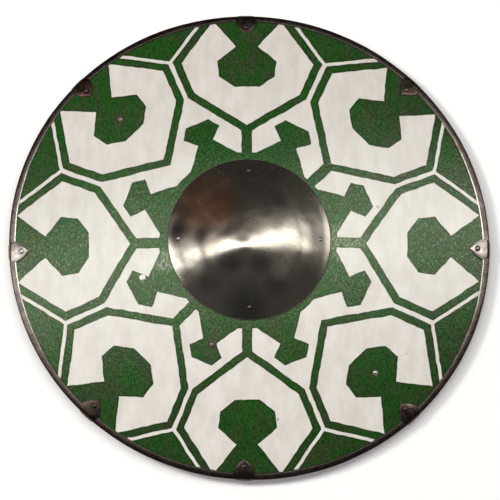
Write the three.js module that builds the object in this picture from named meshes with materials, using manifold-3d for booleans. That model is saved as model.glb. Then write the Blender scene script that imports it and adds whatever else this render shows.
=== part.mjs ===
// A wooden round shield, lying on its rim with the painted face up.
// Millimetres, +Z out of the face, +Y to the top of the face, the floor at Z = 0.
// The board is a shallow dome: every piece on it is placed by a depth, measured outward from
// the face, and an arc, measured along the face from the middle.

import * as THREE from 'three';
import { mergeVertices } from 'three/addons/utils/BufferGeometryUtils.js';
import Module from 'manifold-3d';

// Clearance between pieces that touch
const GAP = 0.3;

// Board
const BOARD_RADIUS = 303.2;
const BOARD_THICKNESS = 10;
const DISH_RISE = 40;
const HAND_HOLE_RADIUS = 62;
const BOARD_RINGS = 6;
const ROUND_SIDES = 72;

// Rim channel
const RIM_SHEET = 1.5;
const RIM_LEG = 7.5;
const RIM_BEND = 1.2;

// Leaf-shaped clips over the rim
const CLIP_COUNT = 8;
// How far each clip was set off its eighth of the circle, in degrees from the right of the face
const CLIP_STRAYS = [-0.3, 0.8, 0.4, 0.4, 1.8, 1.9, -1.7, -2.3];
const CLIP_SHEET = 1.2;
const CLIP_HALF_WIDTH = 12.3;
const CLIP_LENGTH = 28;
const CLIP_SHOULDER = 8.5;
const CLIP_STEP_TOP = 9.5;
const CLIP_STEP_FOOT = 12;
const CLIP_TIP_HALF_WIDTH = 0.8;
const CLIP_LEAF_STEPS = 4;
const CLIP_LEAF_CURVE = 1.9;
const CLIP_RIVET_INSET = 18;

// Boss
const BOSS_RADIUS = 103.5;
const BOSS_SHEET = 1.6;
const BOSS_HEIGHT = 30;
const BOSS_FLARE_START = 66;
const BOSS_FLARE_END = 92;
const BOSS_FLARE_STEPS = 3;
const BOSS_FLANGE_CREST = 96;
const BOSS_FLANGE_LIFT = 3.5;
const BOSS_TIP_RADIUS = 9;
const BOSS_LEAN = 15;
const BOSS_SIDES = 44;
const BOSS_RIVET_ARC = 89;

// Grip lath across the back
const LATH_ANGLE = THREE.MathUtils.degToRad(135);
const LATH_HALF_LENGTH = 250;
const LATH_HALF_WIDTH = 16;
const LATH_GRIP_HALF_WIDTH = 13;
const LATH_GRIP_HALF_LENGTH = 55;
const LATH_SHOULDER = 85;
const LATH_SEAT_START = 205;
const LATH_END_THICKNESS = 8.5;
const LATH_GRIP_THICKNESS = 17;
const LATH_FLAT_HALF_LENGTH = 150;
const LATH_CHAMFER = 3;
const LATH_RIVET_ARC = 232;
const LATH_RIVET_STRAY = THREE.MathUtils.degToRad(-1.7);

// Forearm strap beside the lath
const STRAP_OFFSET = 130.4;
const STRAP_HALF_SPAN = 61.8;
const STRAP_END = 80;
const STRAP_TAB_START = 50;
const STRAP_HALF_WIDTH = 16;
const STRAP_THICKNESS = 3.5;
const STRAP_SAG = 24;
const STRAP_SAG_CURVE = 1.5;
const STRAP_STEPS = 10;

// Rivets
const RIVET_SIDES = 8;
const RIVET_SHANK_RADIUS = 2.2;
const RIVET_HOLE_RADIUS = 2.8;
const RIVET_HEAD_RADIUS = 3.9;
const BOSS_RIVET_HEAD_RADIUS = 3.3;
const RIVET_HEAD_HEIGHT = 1.9;
const RIVET_CROWN_SHARES = [1, 0.55, 0];
const RIVET_TAIL_RADIUS = 3.6;
const RIVET_TAIL_HEIGHT = 1.2;

// Cutting: how close two corners are to be one, and the length of the drill
const WELD = 1e-4;
const DRILL_LENGTH = 80;

// Sizes that follow from the ones above
const FACE_SPHERE = (BOARD_RADIUS ** 2 + DISH_RISE ** 2) / (2 * DISH_RISE);
const BACK_SPHERE = FACE_SPHERE - BOARD_THICKNESS;
const arcAtRadius = (radius) => FACE_SPHERE * Math.asin(radius / FACE_SPHERE);
const EDGE_ARC = arcAtRadius(BOARD_RADIUS);
const RIM_ARC = EDGE_ARC + GAP + RIM_SHEET;
const RIM_TOP = GAP + RIM_SHEET;
const CLIP_ARC = RIM_ARC + GAP + CLIP_SHEET;
const CLIP_TOP = RIM_TOP + GAP + CLIP_SHEET;
const MID_DEPTH = -BOARD_THICKNESS / 2;
const mirrored = (depth) => 2 * MID_DEPTH - depth;

// Height of the dome's centre over the floor, which the folded backs of the clips rest on
const CLIP_FOOT_ARC = CLIP_ARC - RIM_BEND - CLIP_SHEET;
const CENTRE_Z = -(FACE_SPHERE + mirrored(CLIP_TOP)) * Math.cos(CLIP_FOOT_ARC / FACE_SPHERE);

const wasm = await Module();
wasm.setup();

/** A point of the dome's section: x is the distance from the axis, y the height over the floor. */
function domePoint(depth, arc) {
  const angle = arc / FACE_SPHERE;
  const reach = FACE_SPHERE + depth;
  return new THREE.Vector2(reach * Math.sin(angle), CENTRE_Z + reach * Math.cos(angle));
}

/** Placement with its origin on the face and its Z axis out of the face. */
function domeSeat(arc, azimuth) {
  const seat = new THREE.Matrix4().makeTranslation(0, 0, CENTRE_Z);
  seat.multiply(new THREE.Matrix4().makeRotationZ(azimuth));
  seat.multiply(new THREE.Matrix4().makeRotationY(arc / FACE_SPHERE));
  return seat.multiply(new THREE.Matrix4().makeTranslation(0, 0, FACE_SPHERE));
}

/** Height of the back of the board over the floor at a distance from the axis. */
function backHeight(radius) {
  return CENTRE_Z + Math.sqrt(BACK_SPHERE ** 2 - radius ** 2);
}

/** Revolves a section about the Z axis. */
function revolve(section, sides) {
  return new THREE.LatheGeometry(section, sides).rotateX(Math.PI / 2);
}

/** Skins a row of closed sections that all have the same number of points. */
function loft(sections) {
  const around = sections[0].length;
  const indices = [];
  for (let row = 0; row + 1 < sections.length; row += 1) {
    for (let side = 0; side < around; side += 1) {
      const next = (side + 1) % around;
      const a = row * around + side;
      const b = row * around + next;
      indices.push(a, b, b + around, a, b + around, a + around);
    }
  }
  const last = (sections.length - 1) * around;
  for (let side = 1; side + 1 < around; side += 1) {
    indices.push(0, side + 1, side);
    indices.push(last, last + side, last + side + 1);
  }
  const geometry = new THREE.BufferGeometry().setFromPoints(sections.flat());
  geometry.setIndex(indices);
  return geometry;
}

/** Turns a closed geometry into a solid for cutting. */
function toSolid(geometry) {
  const bare = geometry.clone();
  bare.deleteAttribute('normal');
  bare.deleteAttribute('uv');
  const welded = mergeVertices(bare, WELD);
  const vertProperties = new Float32Array(welded.attributes.position.array);
  const triVerts = new Uint32Array(welded.index.array);
  return new wasm.Manifold(new wasm.Mesh({ numProp: 3, vertProperties, triVerts }));
}

/** Turns a cut solid back into a geometry. */
function toGeometry(solid) {
  const mesh = solid.getMesh();
  const geometry = new THREE.BufferGeometry();
  geometry.setAttribute('position', new THREE.BufferAttribute(new Float32Array(mesh.vertProperties), 3));
  geometry.setIndex(new THREE.BufferAttribute(new Uint32Array(mesh.triVerts), 1));
  geometry.computeVertexNormals();
  return geometry;
}

/** Cuts a rivet hole right through a piece at each seat. */
function drill(geometry, seats) {
  let solid = toSolid(geometry);
  for (const seat of seats) {
    const bit = new THREE.CylinderGeometry(RIVET_HOLE_RADIUS, RIVET_HOLE_RADIUS, DRILL_LENGTH, RIVET_SIDES);
    bit.rotateX(Math.PI / 2).applyMatrix4(seat);
    solid = solid.subtract(toSolid(bit));
  }
  return toGeometry(solid);
}

/** A rivet along Z: a low dome on top, a shank, and a peened tail underneath. */
function rivetGeometry(headDepth, tailDepth, headRadius = RIVET_HEAD_RADIUS) {
  const crown = RIVET_CROWN_SHARES.map((share) => new THREE.Vector2(
    headRadius * Math.sin(share * Math.PI / 2),
    headDepth + RIVET_HEAD_HEIGHT * Math.cos(share * Math.PI / 2),
  ));
  return revolve([
    new THREE.Vector2(0, tailDepth - RIVET_TAIL_HEIGHT),
    new THREE.Vector2(RIVET_TAIL_RADIUS, tailDepth - RIVET_TAIL_HEIGHT),
    new THREE.Vector2(RIVET_TAIL_RADIUS, tailDepth),
    new THREE.Vector2(RIVET_SHANK_RADIUS, tailDepth),
    new THREE.Vector2(RIVET_SHANK_RADIUS, headDepth),
    ...crown,
  ], RIVET_SIDES);
}

/** The dished board with its hand hole, before the rivet holes. */
function boardGeometry() {
  const holeArc = arcAtRadius(HAND_HOLE_RADIUS);
  const arcs = [];
  for (let ring = 0; ring <= BOARD_RINGS; ring += 1) {
    arcs.push(THREE.MathUtils.lerp(holeArc, EDGE_ARC, ring / BOARD_RINGS));
  }
  const back = arcs.map((arc) => domePoint(-BOARD_THICKNESS, arc));
  const face = arcs.map((arc) => domePoint(0, arc)).reverse();
  return revolve([...back, ...face, back[0]], ROUND_SIDES);
}

/** The channel round the edge: a leg on the face, a web round the edge and a leg on the back. */
function rimGeometry() {
  const legArc = RIM_ARC - RIM_LEG;
  const webArc = EDGE_ARC + GAP;
  const upper = [[RIM_TOP - RIM_BEND, RIM_ARC], [RIM_TOP, RIM_ARC - RIM_BEND], [RIM_TOP, legArc],
    [GAP, legArc], [GAP, webArc]];
  const lower = upper.map(([depth, arc]) => [mirrored(depth), arc]).reverse();
  const section = [...upper, ...lower, upper[0]].map(([depth, arc]) => domePoint(depth, arc));
  return revolve(section, ROUND_SIDES);
}

/** Half the width of a clip's leaf at a distance from the outside of the rim. */
function leafHalfWidth(inset) {
  const share = Math.max(0, (inset - CLIP_SHOULDER) / (CLIP_LENGTH - CLIP_SHOULDER));
  const width = CLIP_HALF_WIDTH * (1 - share ** CLIP_LEAF_CURVE);
  return Math.max(CLIP_TIP_HALF_WIDTH, width);
}

/** A clip at azimuth 0: a pointed leaf on the face, folded over the rim to a leaf on the back. */
function clipGeometry() {
  const strip = [];
  const lay = (inset, inner) => {
    const arc = CLIP_ARC - inset;
    strip.push({ inner: [inner, arc], outer: [inner + CLIP_SHEET, arc], half: leafHalfWidth(inset) });
  };
  for (let step = 0; step < CLIP_LEAF_STEPS; step += 1) {
    lay(THREE.MathUtils.lerp(CLIP_LENGTH, CLIP_STEP_FOOT, step / (CLIP_LEAF_STEPS - 1)), GAP);
  }
  lay(CLIP_STEP_TOP, RIM_TOP + GAP);
  const fold = CLIP_SHEET + RIM_BEND;
  strip.push({
    inner: [RIM_TOP + GAP, CLIP_ARC - fold],
    outer: [CLIP_TOP, CLIP_ARC - fold],
    half: CLIP_HALF_WIDTH,
  });
  strip.push({
    inner: [RIM_TOP + GAP - RIM_BEND, CLIP_ARC - CLIP_SHEET],
    outer: [CLIP_TOP - fold, CLIP_ARC],
    half: CLIP_HALF_WIDTH,
  });
  const back = strip.map(({ inner, outer, half }) => ({
    inner: [mirrored(inner[0]), inner[1]],
    outer: [mirrored(outer[0]), outer[1]],
    half,
  }));
  const sections = [...strip, ...back.reverse()].map(({ inner, outer, half }) => {
    const low = domePoint(...inner);
    const high = domePoint(...outer);
    return [
      new THREE.Vector3(low.x, -half, low.y),
      new THREE.Vector3(low.x, half, low.y),
      new THREE.Vector3(high.x, half, high.y),
      new THREE.Vector3(high.x, -half, high.y),
    ];
  });
  return loft(sections);
}

/** Height of the flange over the face: level to its crest, then bent down to the face at its edge. */
function flangeLift(radius) {
  const fall = (radius - BOSS_FLANGE_CREST) / (BOSS_RADIUS - BOSS_FLANGE_CREST);
  return BOSS_FLANGE_LIFT * (1 - Math.max(0, fall));
}

/** Height of the boss over its flange at a distance from the axis: a cone, flared into the flange. */
function bossRise(radius) {
  const flare = BOSS_FLARE_END - BOSS_FLARE_START;
  const slope = BOSS_HEIGHT / (BOSS_FLARE_START + flare / 2);
  if (radius >= BOSS_FLARE_END) return 0;
  if (radius >= BOSS_FLARE_START) return slope * (BOSS_FLARE_END - radius) ** 2 / (2 * flare);
  const cone = BOSS_HEIGHT - slope * radius;
  if (radius >= BOSS_TIP_RADIUS) return cone;
  return cone - slope * (BOSS_TIP_RADIUS - radius) ** 2 / (2 * BOSS_TIP_RADIUS);
}

/** The hollow boss, whose point sits a little below the middle of its base. */
function bossGeometry() {
  const stops = [0, BOSS_TIP_RADIUS / 2, BOSS_TIP_RADIUS];
  for (let step = 0; step <= BOSS_FLARE_STEPS; step += 1) {
    stops.push(THREE.MathUtils.lerp(BOSS_FLARE_START, BOSS_FLARE_END, step / BOSS_FLARE_STEPS));
  }
  stops.push(BOSS_FLANGE_CREST, BOSS_RADIUS);
  const skin = (sheet) => stops.map((radius) => {
    const seat = domePoint(GAP + sheet, arcAtRadius(radius));
    return new THREE.Vector2(radius, seat.y + flangeLift(radius) + bossRise(radius));
  });
  const geometry = revolve([...skin(0), ...skin(BOSS_SHEET).reverse()], BOSS_SIDES);
  const place = geometry.attributes.position;
  for (let index = 0; index < place.count; index += 1) {
    const radius = Math.hypot(place.getX(index), place.getY(index));
    place.setY(index, place.getY(index) - BOSS_LEAN * bossRise(radius) / BOSS_HEIGHT);
  }
  return geometry;
}

/** The lath along local X: ends shaped to the back of the board, a narrower grip in the middle. */
function lathGeometry() {
  const seatTop = backHeight(Math.hypot(LATH_SEAT_START, LATH_HALF_WIDTH)) - GAP;
  const flatBottom = seatTop - LATH_GRIP_THICKNESS;
  const stops = [LATH_HALF_LENGTH, LATH_RIVET_ARC, LATH_SEAT_START, LATH_FLAT_HALF_LENGTH, LATH_SHOULDER,
    LATH_GRIP_HALF_LENGTH];
  const section = (along) => {
    const far = Math.abs(along);
    const half = far <= LATH_GRIP_HALF_LENGTH ? LATH_GRIP_HALF_WIDTH : LATH_HALF_WIDTH;
    const board = backHeight(Math.hypot(far, LATH_HALF_WIDTH)) - GAP;
    const top = Math.min(seatTop, board);
    const taper = far > LATH_FLAT_HALF_LENGTH ? board - LATH_END_THICKNESS : flatBottom;
    const bottom = Math.max(flatBottom, taper);
    const c = LATH_CHAMFER;
    const outline = [[-half + c, bottom], [half - c, bottom], [half, bottom + c], [half, top - c],
      [half - c, top], [-half + c, top], [-half, top - c], [-half, bottom + c]];
    return outline.map(([across, height]) => new THREE.Vector3(along, across, height));
  };
  const places = [...stops.map((stop) => -stop), ...stops.slice().reverse()];
  return loft(places.map(section)).rotateZ(LATH_ANGLE);
}

/** The strap: two tabs against the back of the board and a slack loop between them. */
function strapGeometry() {
  const boardAt = (along) => Math.sqrt(BACK_SPHERE ** 2 - along ** 2 - STRAP_HALF_WIDTH ** 2) - GAP;
  const droop = (along) => {
    const share = Math.max(0, 1 - (along / STRAP_TAB_START) ** 2);
    return STRAP_SAG * share ** STRAP_SAG_CURVE;
  };
  const upper = [];
  const lower = [];
  for (let step = 0; step <= STRAP_STEPS; step += 1) {
    const along = THREE.MathUtils.lerp(-STRAP_END, STRAP_END, step / STRAP_STEPS);
    const height = boardAt(along) - droop(along);
    const lean = Math.atan(droop(along + 0.5) - droop(along - 0.5));
    upper.push(new THREE.Vector2(along, height));
    lower.push(new THREE.Vector2(along - STRAP_THICKNESS * Math.sin(lean),
      height - STRAP_THICKNESS * Math.cos(lean)));
  }
  const profile = new THREE.Shape([...lower, ...upper.reverse()]);
  const geometry = new THREE.ExtrudeGeometry(profile, { depth: 2 * STRAP_HALF_WIDTH, bevelEnabled: false });
  geometry.translate(0, 0, -STRAP_HALF_WIDTH).rotateX(Math.PI / 2);
  geometry.rotateX(-STRAP_OFFSET / FACE_SPHERE).translate(0, 0, CENTRE_Z);
  return geometry.rotateZ(LATH_ANGLE);
}

const shield = new THREE.Group();

/** Adds one named piece with its own finish. */
function addPiece(name, geometry, colour, roughness, metalness, placement = new THREE.Matrix4()) {
  const finish = new THREE.MeshStandardMaterial({ color: colour, roughness, metalness });
  const piece = new THREE.Mesh(geometry, finish);
  piece.name = name;
  piece.applyMatrix4(placement);
  shield.add(piece);
}

const GREEN_PAINT = 0x2f6a2a;
const DARK_STEEL = 0x4a4441;
const POLISHED_STEEL = 0x77726d;
const RIVET_STEEL = 0x8a857f;
const BARE_WOOD = 0xa27c50;
const BROWN_LEATHER = 0x5a3a22;

const EIGHTHS = ['e', 'ne', 'n', 'nw', 'w', 'sw', 's', 'se'];
const eighthTurn = (index) => index * 2 * Math.PI / CLIP_COUNT;
const clipTurn = (index) => eighthTurn(index) + THREE.MathUtils.degToRad(CLIP_STRAYS[index]);
const clipSeats = EIGHTHS.map((_, index) => domeSeat(CLIP_ARC - CLIP_RIVET_INSET, clipTurn(index)));
const bossSeats = EIGHTHS.map((_, index) => domeSeat(BOSS_RIVET_ARC, eighthTurn(index)));
const QUARTERS = [0, 2, 4, 6];

const strapReach = Math.hypot(STRAP_HALF_SPAN, STRAP_OFFSET);
const strapTurn = Math.atan2(STRAP_OFFSET, STRAP_HALF_SPAN);
const backSeats = {
  lath_rivet_nw: domeSeat(LATH_RIVET_ARC, LATH_ANGLE),
  lath_rivet_se: domeSeat(LATH_RIVET_ARC, LATH_ANGLE + Math.PI + LATH_RIVET_STRAY),
  strap_rivet_w: domeSeat(strapReach, LATH_ANGLE + strapTurn),
  strap_rivet_s: domeSeat(strapReach, LATH_ANGLE + Math.PI - strapTurn),
};
const lathSeats = [backSeats.lath_rivet_nw, backSeats.lath_rivet_se];
const strapSeats = [backSeats.strap_rivet_w, backSeats.strap_rivet_s];
const bossRivetSeats = QUARTERS.map((index) => bossSeats[index]);

const boardSeats = [...clipSeats, ...bossRivetSeats, ...lathSeats, ...strapSeats];
addPiece('board', drill(boardGeometry(), boardSeats), GREEN_PAINT, 0.5, 0);
addPiece('rim', rimGeometry(), DARK_STEEL, 0.45, 0.9);

const clip = drill(clipGeometry(), [domeSeat(CLIP_ARC - CLIP_RIVET_INSET, 0)]);
const clipRivet = rivetGeometry(2 * GAP + CLIP_SHEET, mirrored(2 * GAP + CLIP_SHEET));
EIGHTHS.forEach((side, index) => {
  const turn = new THREE.Matrix4().makeRotationZ(clipTurn(index));
  addPiece(`rim_clip_${side}`, clip, DARK_STEEL, 0.4, 0.9, turn);
  addPiece(`clip_rivet_${side}`, clipRivet, RIVET_STEEL, 0.35, 0.9, clipSeats[index]);
});

addPiece('boss', drill(bossGeometry(), bossRivetSeats), POLISHED_STEEL, 0.25, 1);
// The boss rises a little under the inner side of the rivet's head
const bossRivetRise = bossRise(BOSS_RIVET_ARC - BOSS_RIVET_HEAD_RADIUS);
const bossRivetHead = 2 * GAP + BOSS_SHEET + BOSS_FLANGE_LIFT + bossRivetRise;
const bossRivet = rivetGeometry(bossRivetHead, mirrored(GAP), BOSS_RIVET_HEAD_RADIUS);
QUARTERS.forEach((index) => {
  addPiece(`boss_rivet_${EIGHTHS[index]}`, bossRivet, RIVET_STEEL, 0.35, 0.9, bossSeats[index]);
});

addPiece('grip_lath', drill(lathGeometry(), lathSeats), BARE_WOOD, 0.7, 0);
addPiece('forearm_strap', drill(strapGeometry(), strapSeats), BROWN_LEATHER, 0.65, 0);
const lathRivet = rivetGeometry(GAP, mirrored(GAP) - LATH_END_THICKNESS - 2 * GAP);
const strapRivet = rivetGeometry(GAP, mirrored(GAP) - STRAP_THICKNESS - 2 * GAP);
for (const [name, seat] of Object.entries(backSeats)) {
  const geometry = name.startsWith('lath') ? lathRivet : strapRivet;
  addPiece(name, geometry, RIVET_STEEL, 0.35, 0.9, seat);
}

export default shield;
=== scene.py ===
"""The looks of a wooden round shield that lies face up on a pale floor.

Sizes are in millimetres, as in the part's source, and the meshes are made in metres in the part's
own frame. Every piece on the dished board is placed by a depth, measured outward from the face, and
an arc, measured along the face from the middle.
"""

from __future__ import annotations

import logging
import math
from dataclasses import dataclass
from enum import Enum
from functools import reduce
from typing import Callable, Iterator, Optional, Sequence, Union

import bmesh
import bpy
from mathutils import Matrix, Vector, noise

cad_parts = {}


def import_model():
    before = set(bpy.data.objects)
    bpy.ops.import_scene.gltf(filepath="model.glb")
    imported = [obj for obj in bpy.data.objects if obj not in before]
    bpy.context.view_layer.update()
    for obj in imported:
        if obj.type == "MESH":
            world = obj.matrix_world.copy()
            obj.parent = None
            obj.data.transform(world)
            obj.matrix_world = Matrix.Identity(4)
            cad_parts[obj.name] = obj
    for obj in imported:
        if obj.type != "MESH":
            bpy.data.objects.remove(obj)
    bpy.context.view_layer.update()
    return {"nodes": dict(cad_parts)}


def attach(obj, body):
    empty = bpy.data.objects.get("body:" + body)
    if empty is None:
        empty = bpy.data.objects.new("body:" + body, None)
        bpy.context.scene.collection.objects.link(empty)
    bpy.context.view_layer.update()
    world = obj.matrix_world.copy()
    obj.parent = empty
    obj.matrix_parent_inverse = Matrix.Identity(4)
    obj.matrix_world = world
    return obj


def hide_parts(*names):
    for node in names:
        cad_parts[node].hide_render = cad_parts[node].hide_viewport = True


LOG = logging.getLogger("round_shield")
MM = 0.001
BODY = "root"
# How far the hand set each clip off its eighth, in degrees.
CLIP_STRAYS = (-0.3, 0.8, 0.4, 0.4, 1.8, 1.9, -1.7, -2.3)
# The way that the lath and the strap run, in radians.
BACK_TURN = math.radians(135)
# Where a Mix node keeps its two colours and its mixed colour.
MIX_LOW, MIX_HIGH, MIX_RESULT = 6, 7, 2

Pair = tuple[float, float]
Slopes = tuple[Pair, ...]
Triple = tuple[float, float, float]
Colour = Triple
Socket = bpy.types.NodeSocket
Outputs = bpy.types.NodeOutputs
Feed = Union[float, Triple, Socket]
Rows = Sequence[Sequence[Vector]]


class Eighth(Enum):
    """The eight places round the rim, counted from the right of the face."""

    E = 0
    NE = 1
    N = 2
    NW = 3
    W = 4
    SW = 5
    S = 6
    SE = 7

    @property
    def turn(self) -> float:
        """The azimuth of the place, in radians."""
        return self.value * math.pi / 4

    @property
    def clip_turn(self) -> float:
        """The azimuth of the clip there, which was set a little off by hand."""
        return self.turn + math.radians(CLIP_STRAYS[self.value])

    @property
    def tag(self) -> str:
        """The place as it stands in the names of the nodes."""
        return self.name.lower()


class Slot(Enum):
    """The material slots of the record."""

    BOARD = "board"
    RIM = "rim_steel"
    BOSS = "boss_steel"
    RIVET = "rivet_steel"
    LATH = "lath_wood"
    STRAP = "strap_leather"


def smooth_step(low: float, high: float, value: float) -> float:
    """Eases from 0 at low to 1 at high."""
    share = min(1.0, max(0.0, (value - low) / (high - low)))
    return share * share * (3.0 - 2.0 * share)


def lerp(start: float, end: float, share: float) -> float:
    """A value part of the way from start to end."""
    return start + (end - start) * share


def turns(sides: int) -> Iterator[float]:
    """The turns of the sides of a round, in radians."""
    return (2 * math.pi * side / sides for side in range(sides))


def waver(place: Vector, wavelength: float, seed: float = 0.0) -> float:
    """Smooth hand-made unevenness from about -1 to 1, by a wavelength in millimetres and a seed."""
    return noise.noise(place / (wavelength * MM) + Vector((seed, 0.37 * seed, 1.7 * seed)))


def rounded_loop(half: float, low: float, high: float, rounding: float, steps: int) -> list[Vector]:
    """The outline of a bar with rounded corners.

    Args:
        half: Half its width.
        low: Its lower side.
        high: Its upper side.
        rounding: The radius of its corners.
        steps: How many sides a corner has.

    Returns:
        The points as (across, up).
    """
    points = []
    right, upper, lower = half - rounding, high - rounding, low + rounding
    for corner, middle in enumerate(((right, upper), (-right, upper), (-right, lower), (right, lower))):
        for step in range(steps + 1):
            angle = math.pi / 2 * (corner + step / steps)
            points.append(Vector(middle) + rounding * Vector((math.cos(angle), math.sin(angle))))
    return points


@dataclass(frozen=True)
class Dome:
    """The shallow bowl of the board, which carries every other piece."""

    board_radius: float = 303.2
    board_thickness: float = 10.0
    dish_rise: float = 40.0
    gap: float = 0.3
    rim_sheet: float = 1.5
    rim_bend: float = 1.2
    clip_sheet: float = 1.2
    oval: float = 0.0083
    oval_axis: float = math.radians(-31.2)

    @property
    def face_sphere(self) -> float:
        """The radius of the sphere that the face lies on."""
        return (self.board_radius**2 + self.dish_rise**2) / (2 * self.dish_rise)

    @property
    def edge_arc(self) -> float:
        """The arc from the middle of the face to the edge of the board."""
        return self.arc_at(self.board_radius)

    @property
    def rim_arc(self) -> float:
        """The arc to the outside of the rim."""
        return self.edge_arc + self.gap + self.rim_sheet

    @property
    def rim_top(self) -> float:
        """The depth of the top of the rim."""
        return self.gap + self.rim_sheet

    @property
    def clip_arc(self) -> float:
        """The arc to the outside of the clips."""
        return self.rim_arc + self.gap + self.clip_sheet

    @property
    def clip_top(self) -> float:
        """The depth of the top of the clips."""
        return self.rim_top + self.gap + self.clip_sheet

    @property
    def centre_height(self) -> float:
        """The height of the sphere's centre over the floor, with the clips on the floor."""
        foot_arc = self.clip_arc - self.rim_bend - self.clip_sheet
        return -(self.face_sphere + self.mirrored(self.clip_top)) * math.cos(foot_arc / self.face_sphere)

    def arc_at(self, radius: float) -> float:
        """The arc along the face to a distance from the axis."""
        return self.face_sphere * math.asin(radius / self.face_sphere)

    def mirrored(self, depth: float) -> float:
        """The same depth on the other side of the board's middle."""
        return -self.board_thickness - depth

    def point(self, depth: float, arc: float, azimuth: float) -> Vector:
        """A point of the dome.

        Args:
            depth: Distance outward from the face.
            arc: Distance along the face from the middle.
            azimuth: Turn about the axis, in radians.

        Returns:
            The point in the part's frame, in metres.
        """
        angle = arc / self.face_sphere
        reach = self.face_sphere + depth
        radius = reach * math.sin(angle)
        height = self.centre_height + reach * math.cos(angle)
        return Vector((radius * math.cos(azimuth), radius * math.sin(azimuth), height)) * MM

    def height(self, radius: float, depth: float = 0.0) -> float:
        """The height over the floor at a distance from the axis and a depth."""
        return self.centre_height + math.sqrt((self.face_sphere + depth) ** 2 - radius**2)

    def seat(self, arc: float, azimuth: float) -> Matrix:
        """A placement with its origin on the face and its Z axis out of the face.

        Args:
            arc: Distance along the face from the middle.
            azimuth: Turn about the axis, in radians.

        Returns:
            The placement in metres.
        """
        middle = Matrix.Translation((0, 0, self.centre_height * MM))
        turn = Matrix.Rotation(azimuth, 4, "Z") @ Matrix.Rotation(arc / self.face_sphere, 4, "Y")
        return middle @ turn @ Matrix.Translation((0, 0, self.face_sphere * MM))

    def out_of_round(self) -> Matrix:
        """The slight stretch along one axis that makes the hand-made round an oval."""
        turn = Matrix.Rotation(self.oval_axis, 4, "Z")
        return turn @ Matrix.Diagonal((1 + self.oval, 1 - self.oval, 1, 1)) @ turn.inverted()


DOME = Dome()


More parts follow.
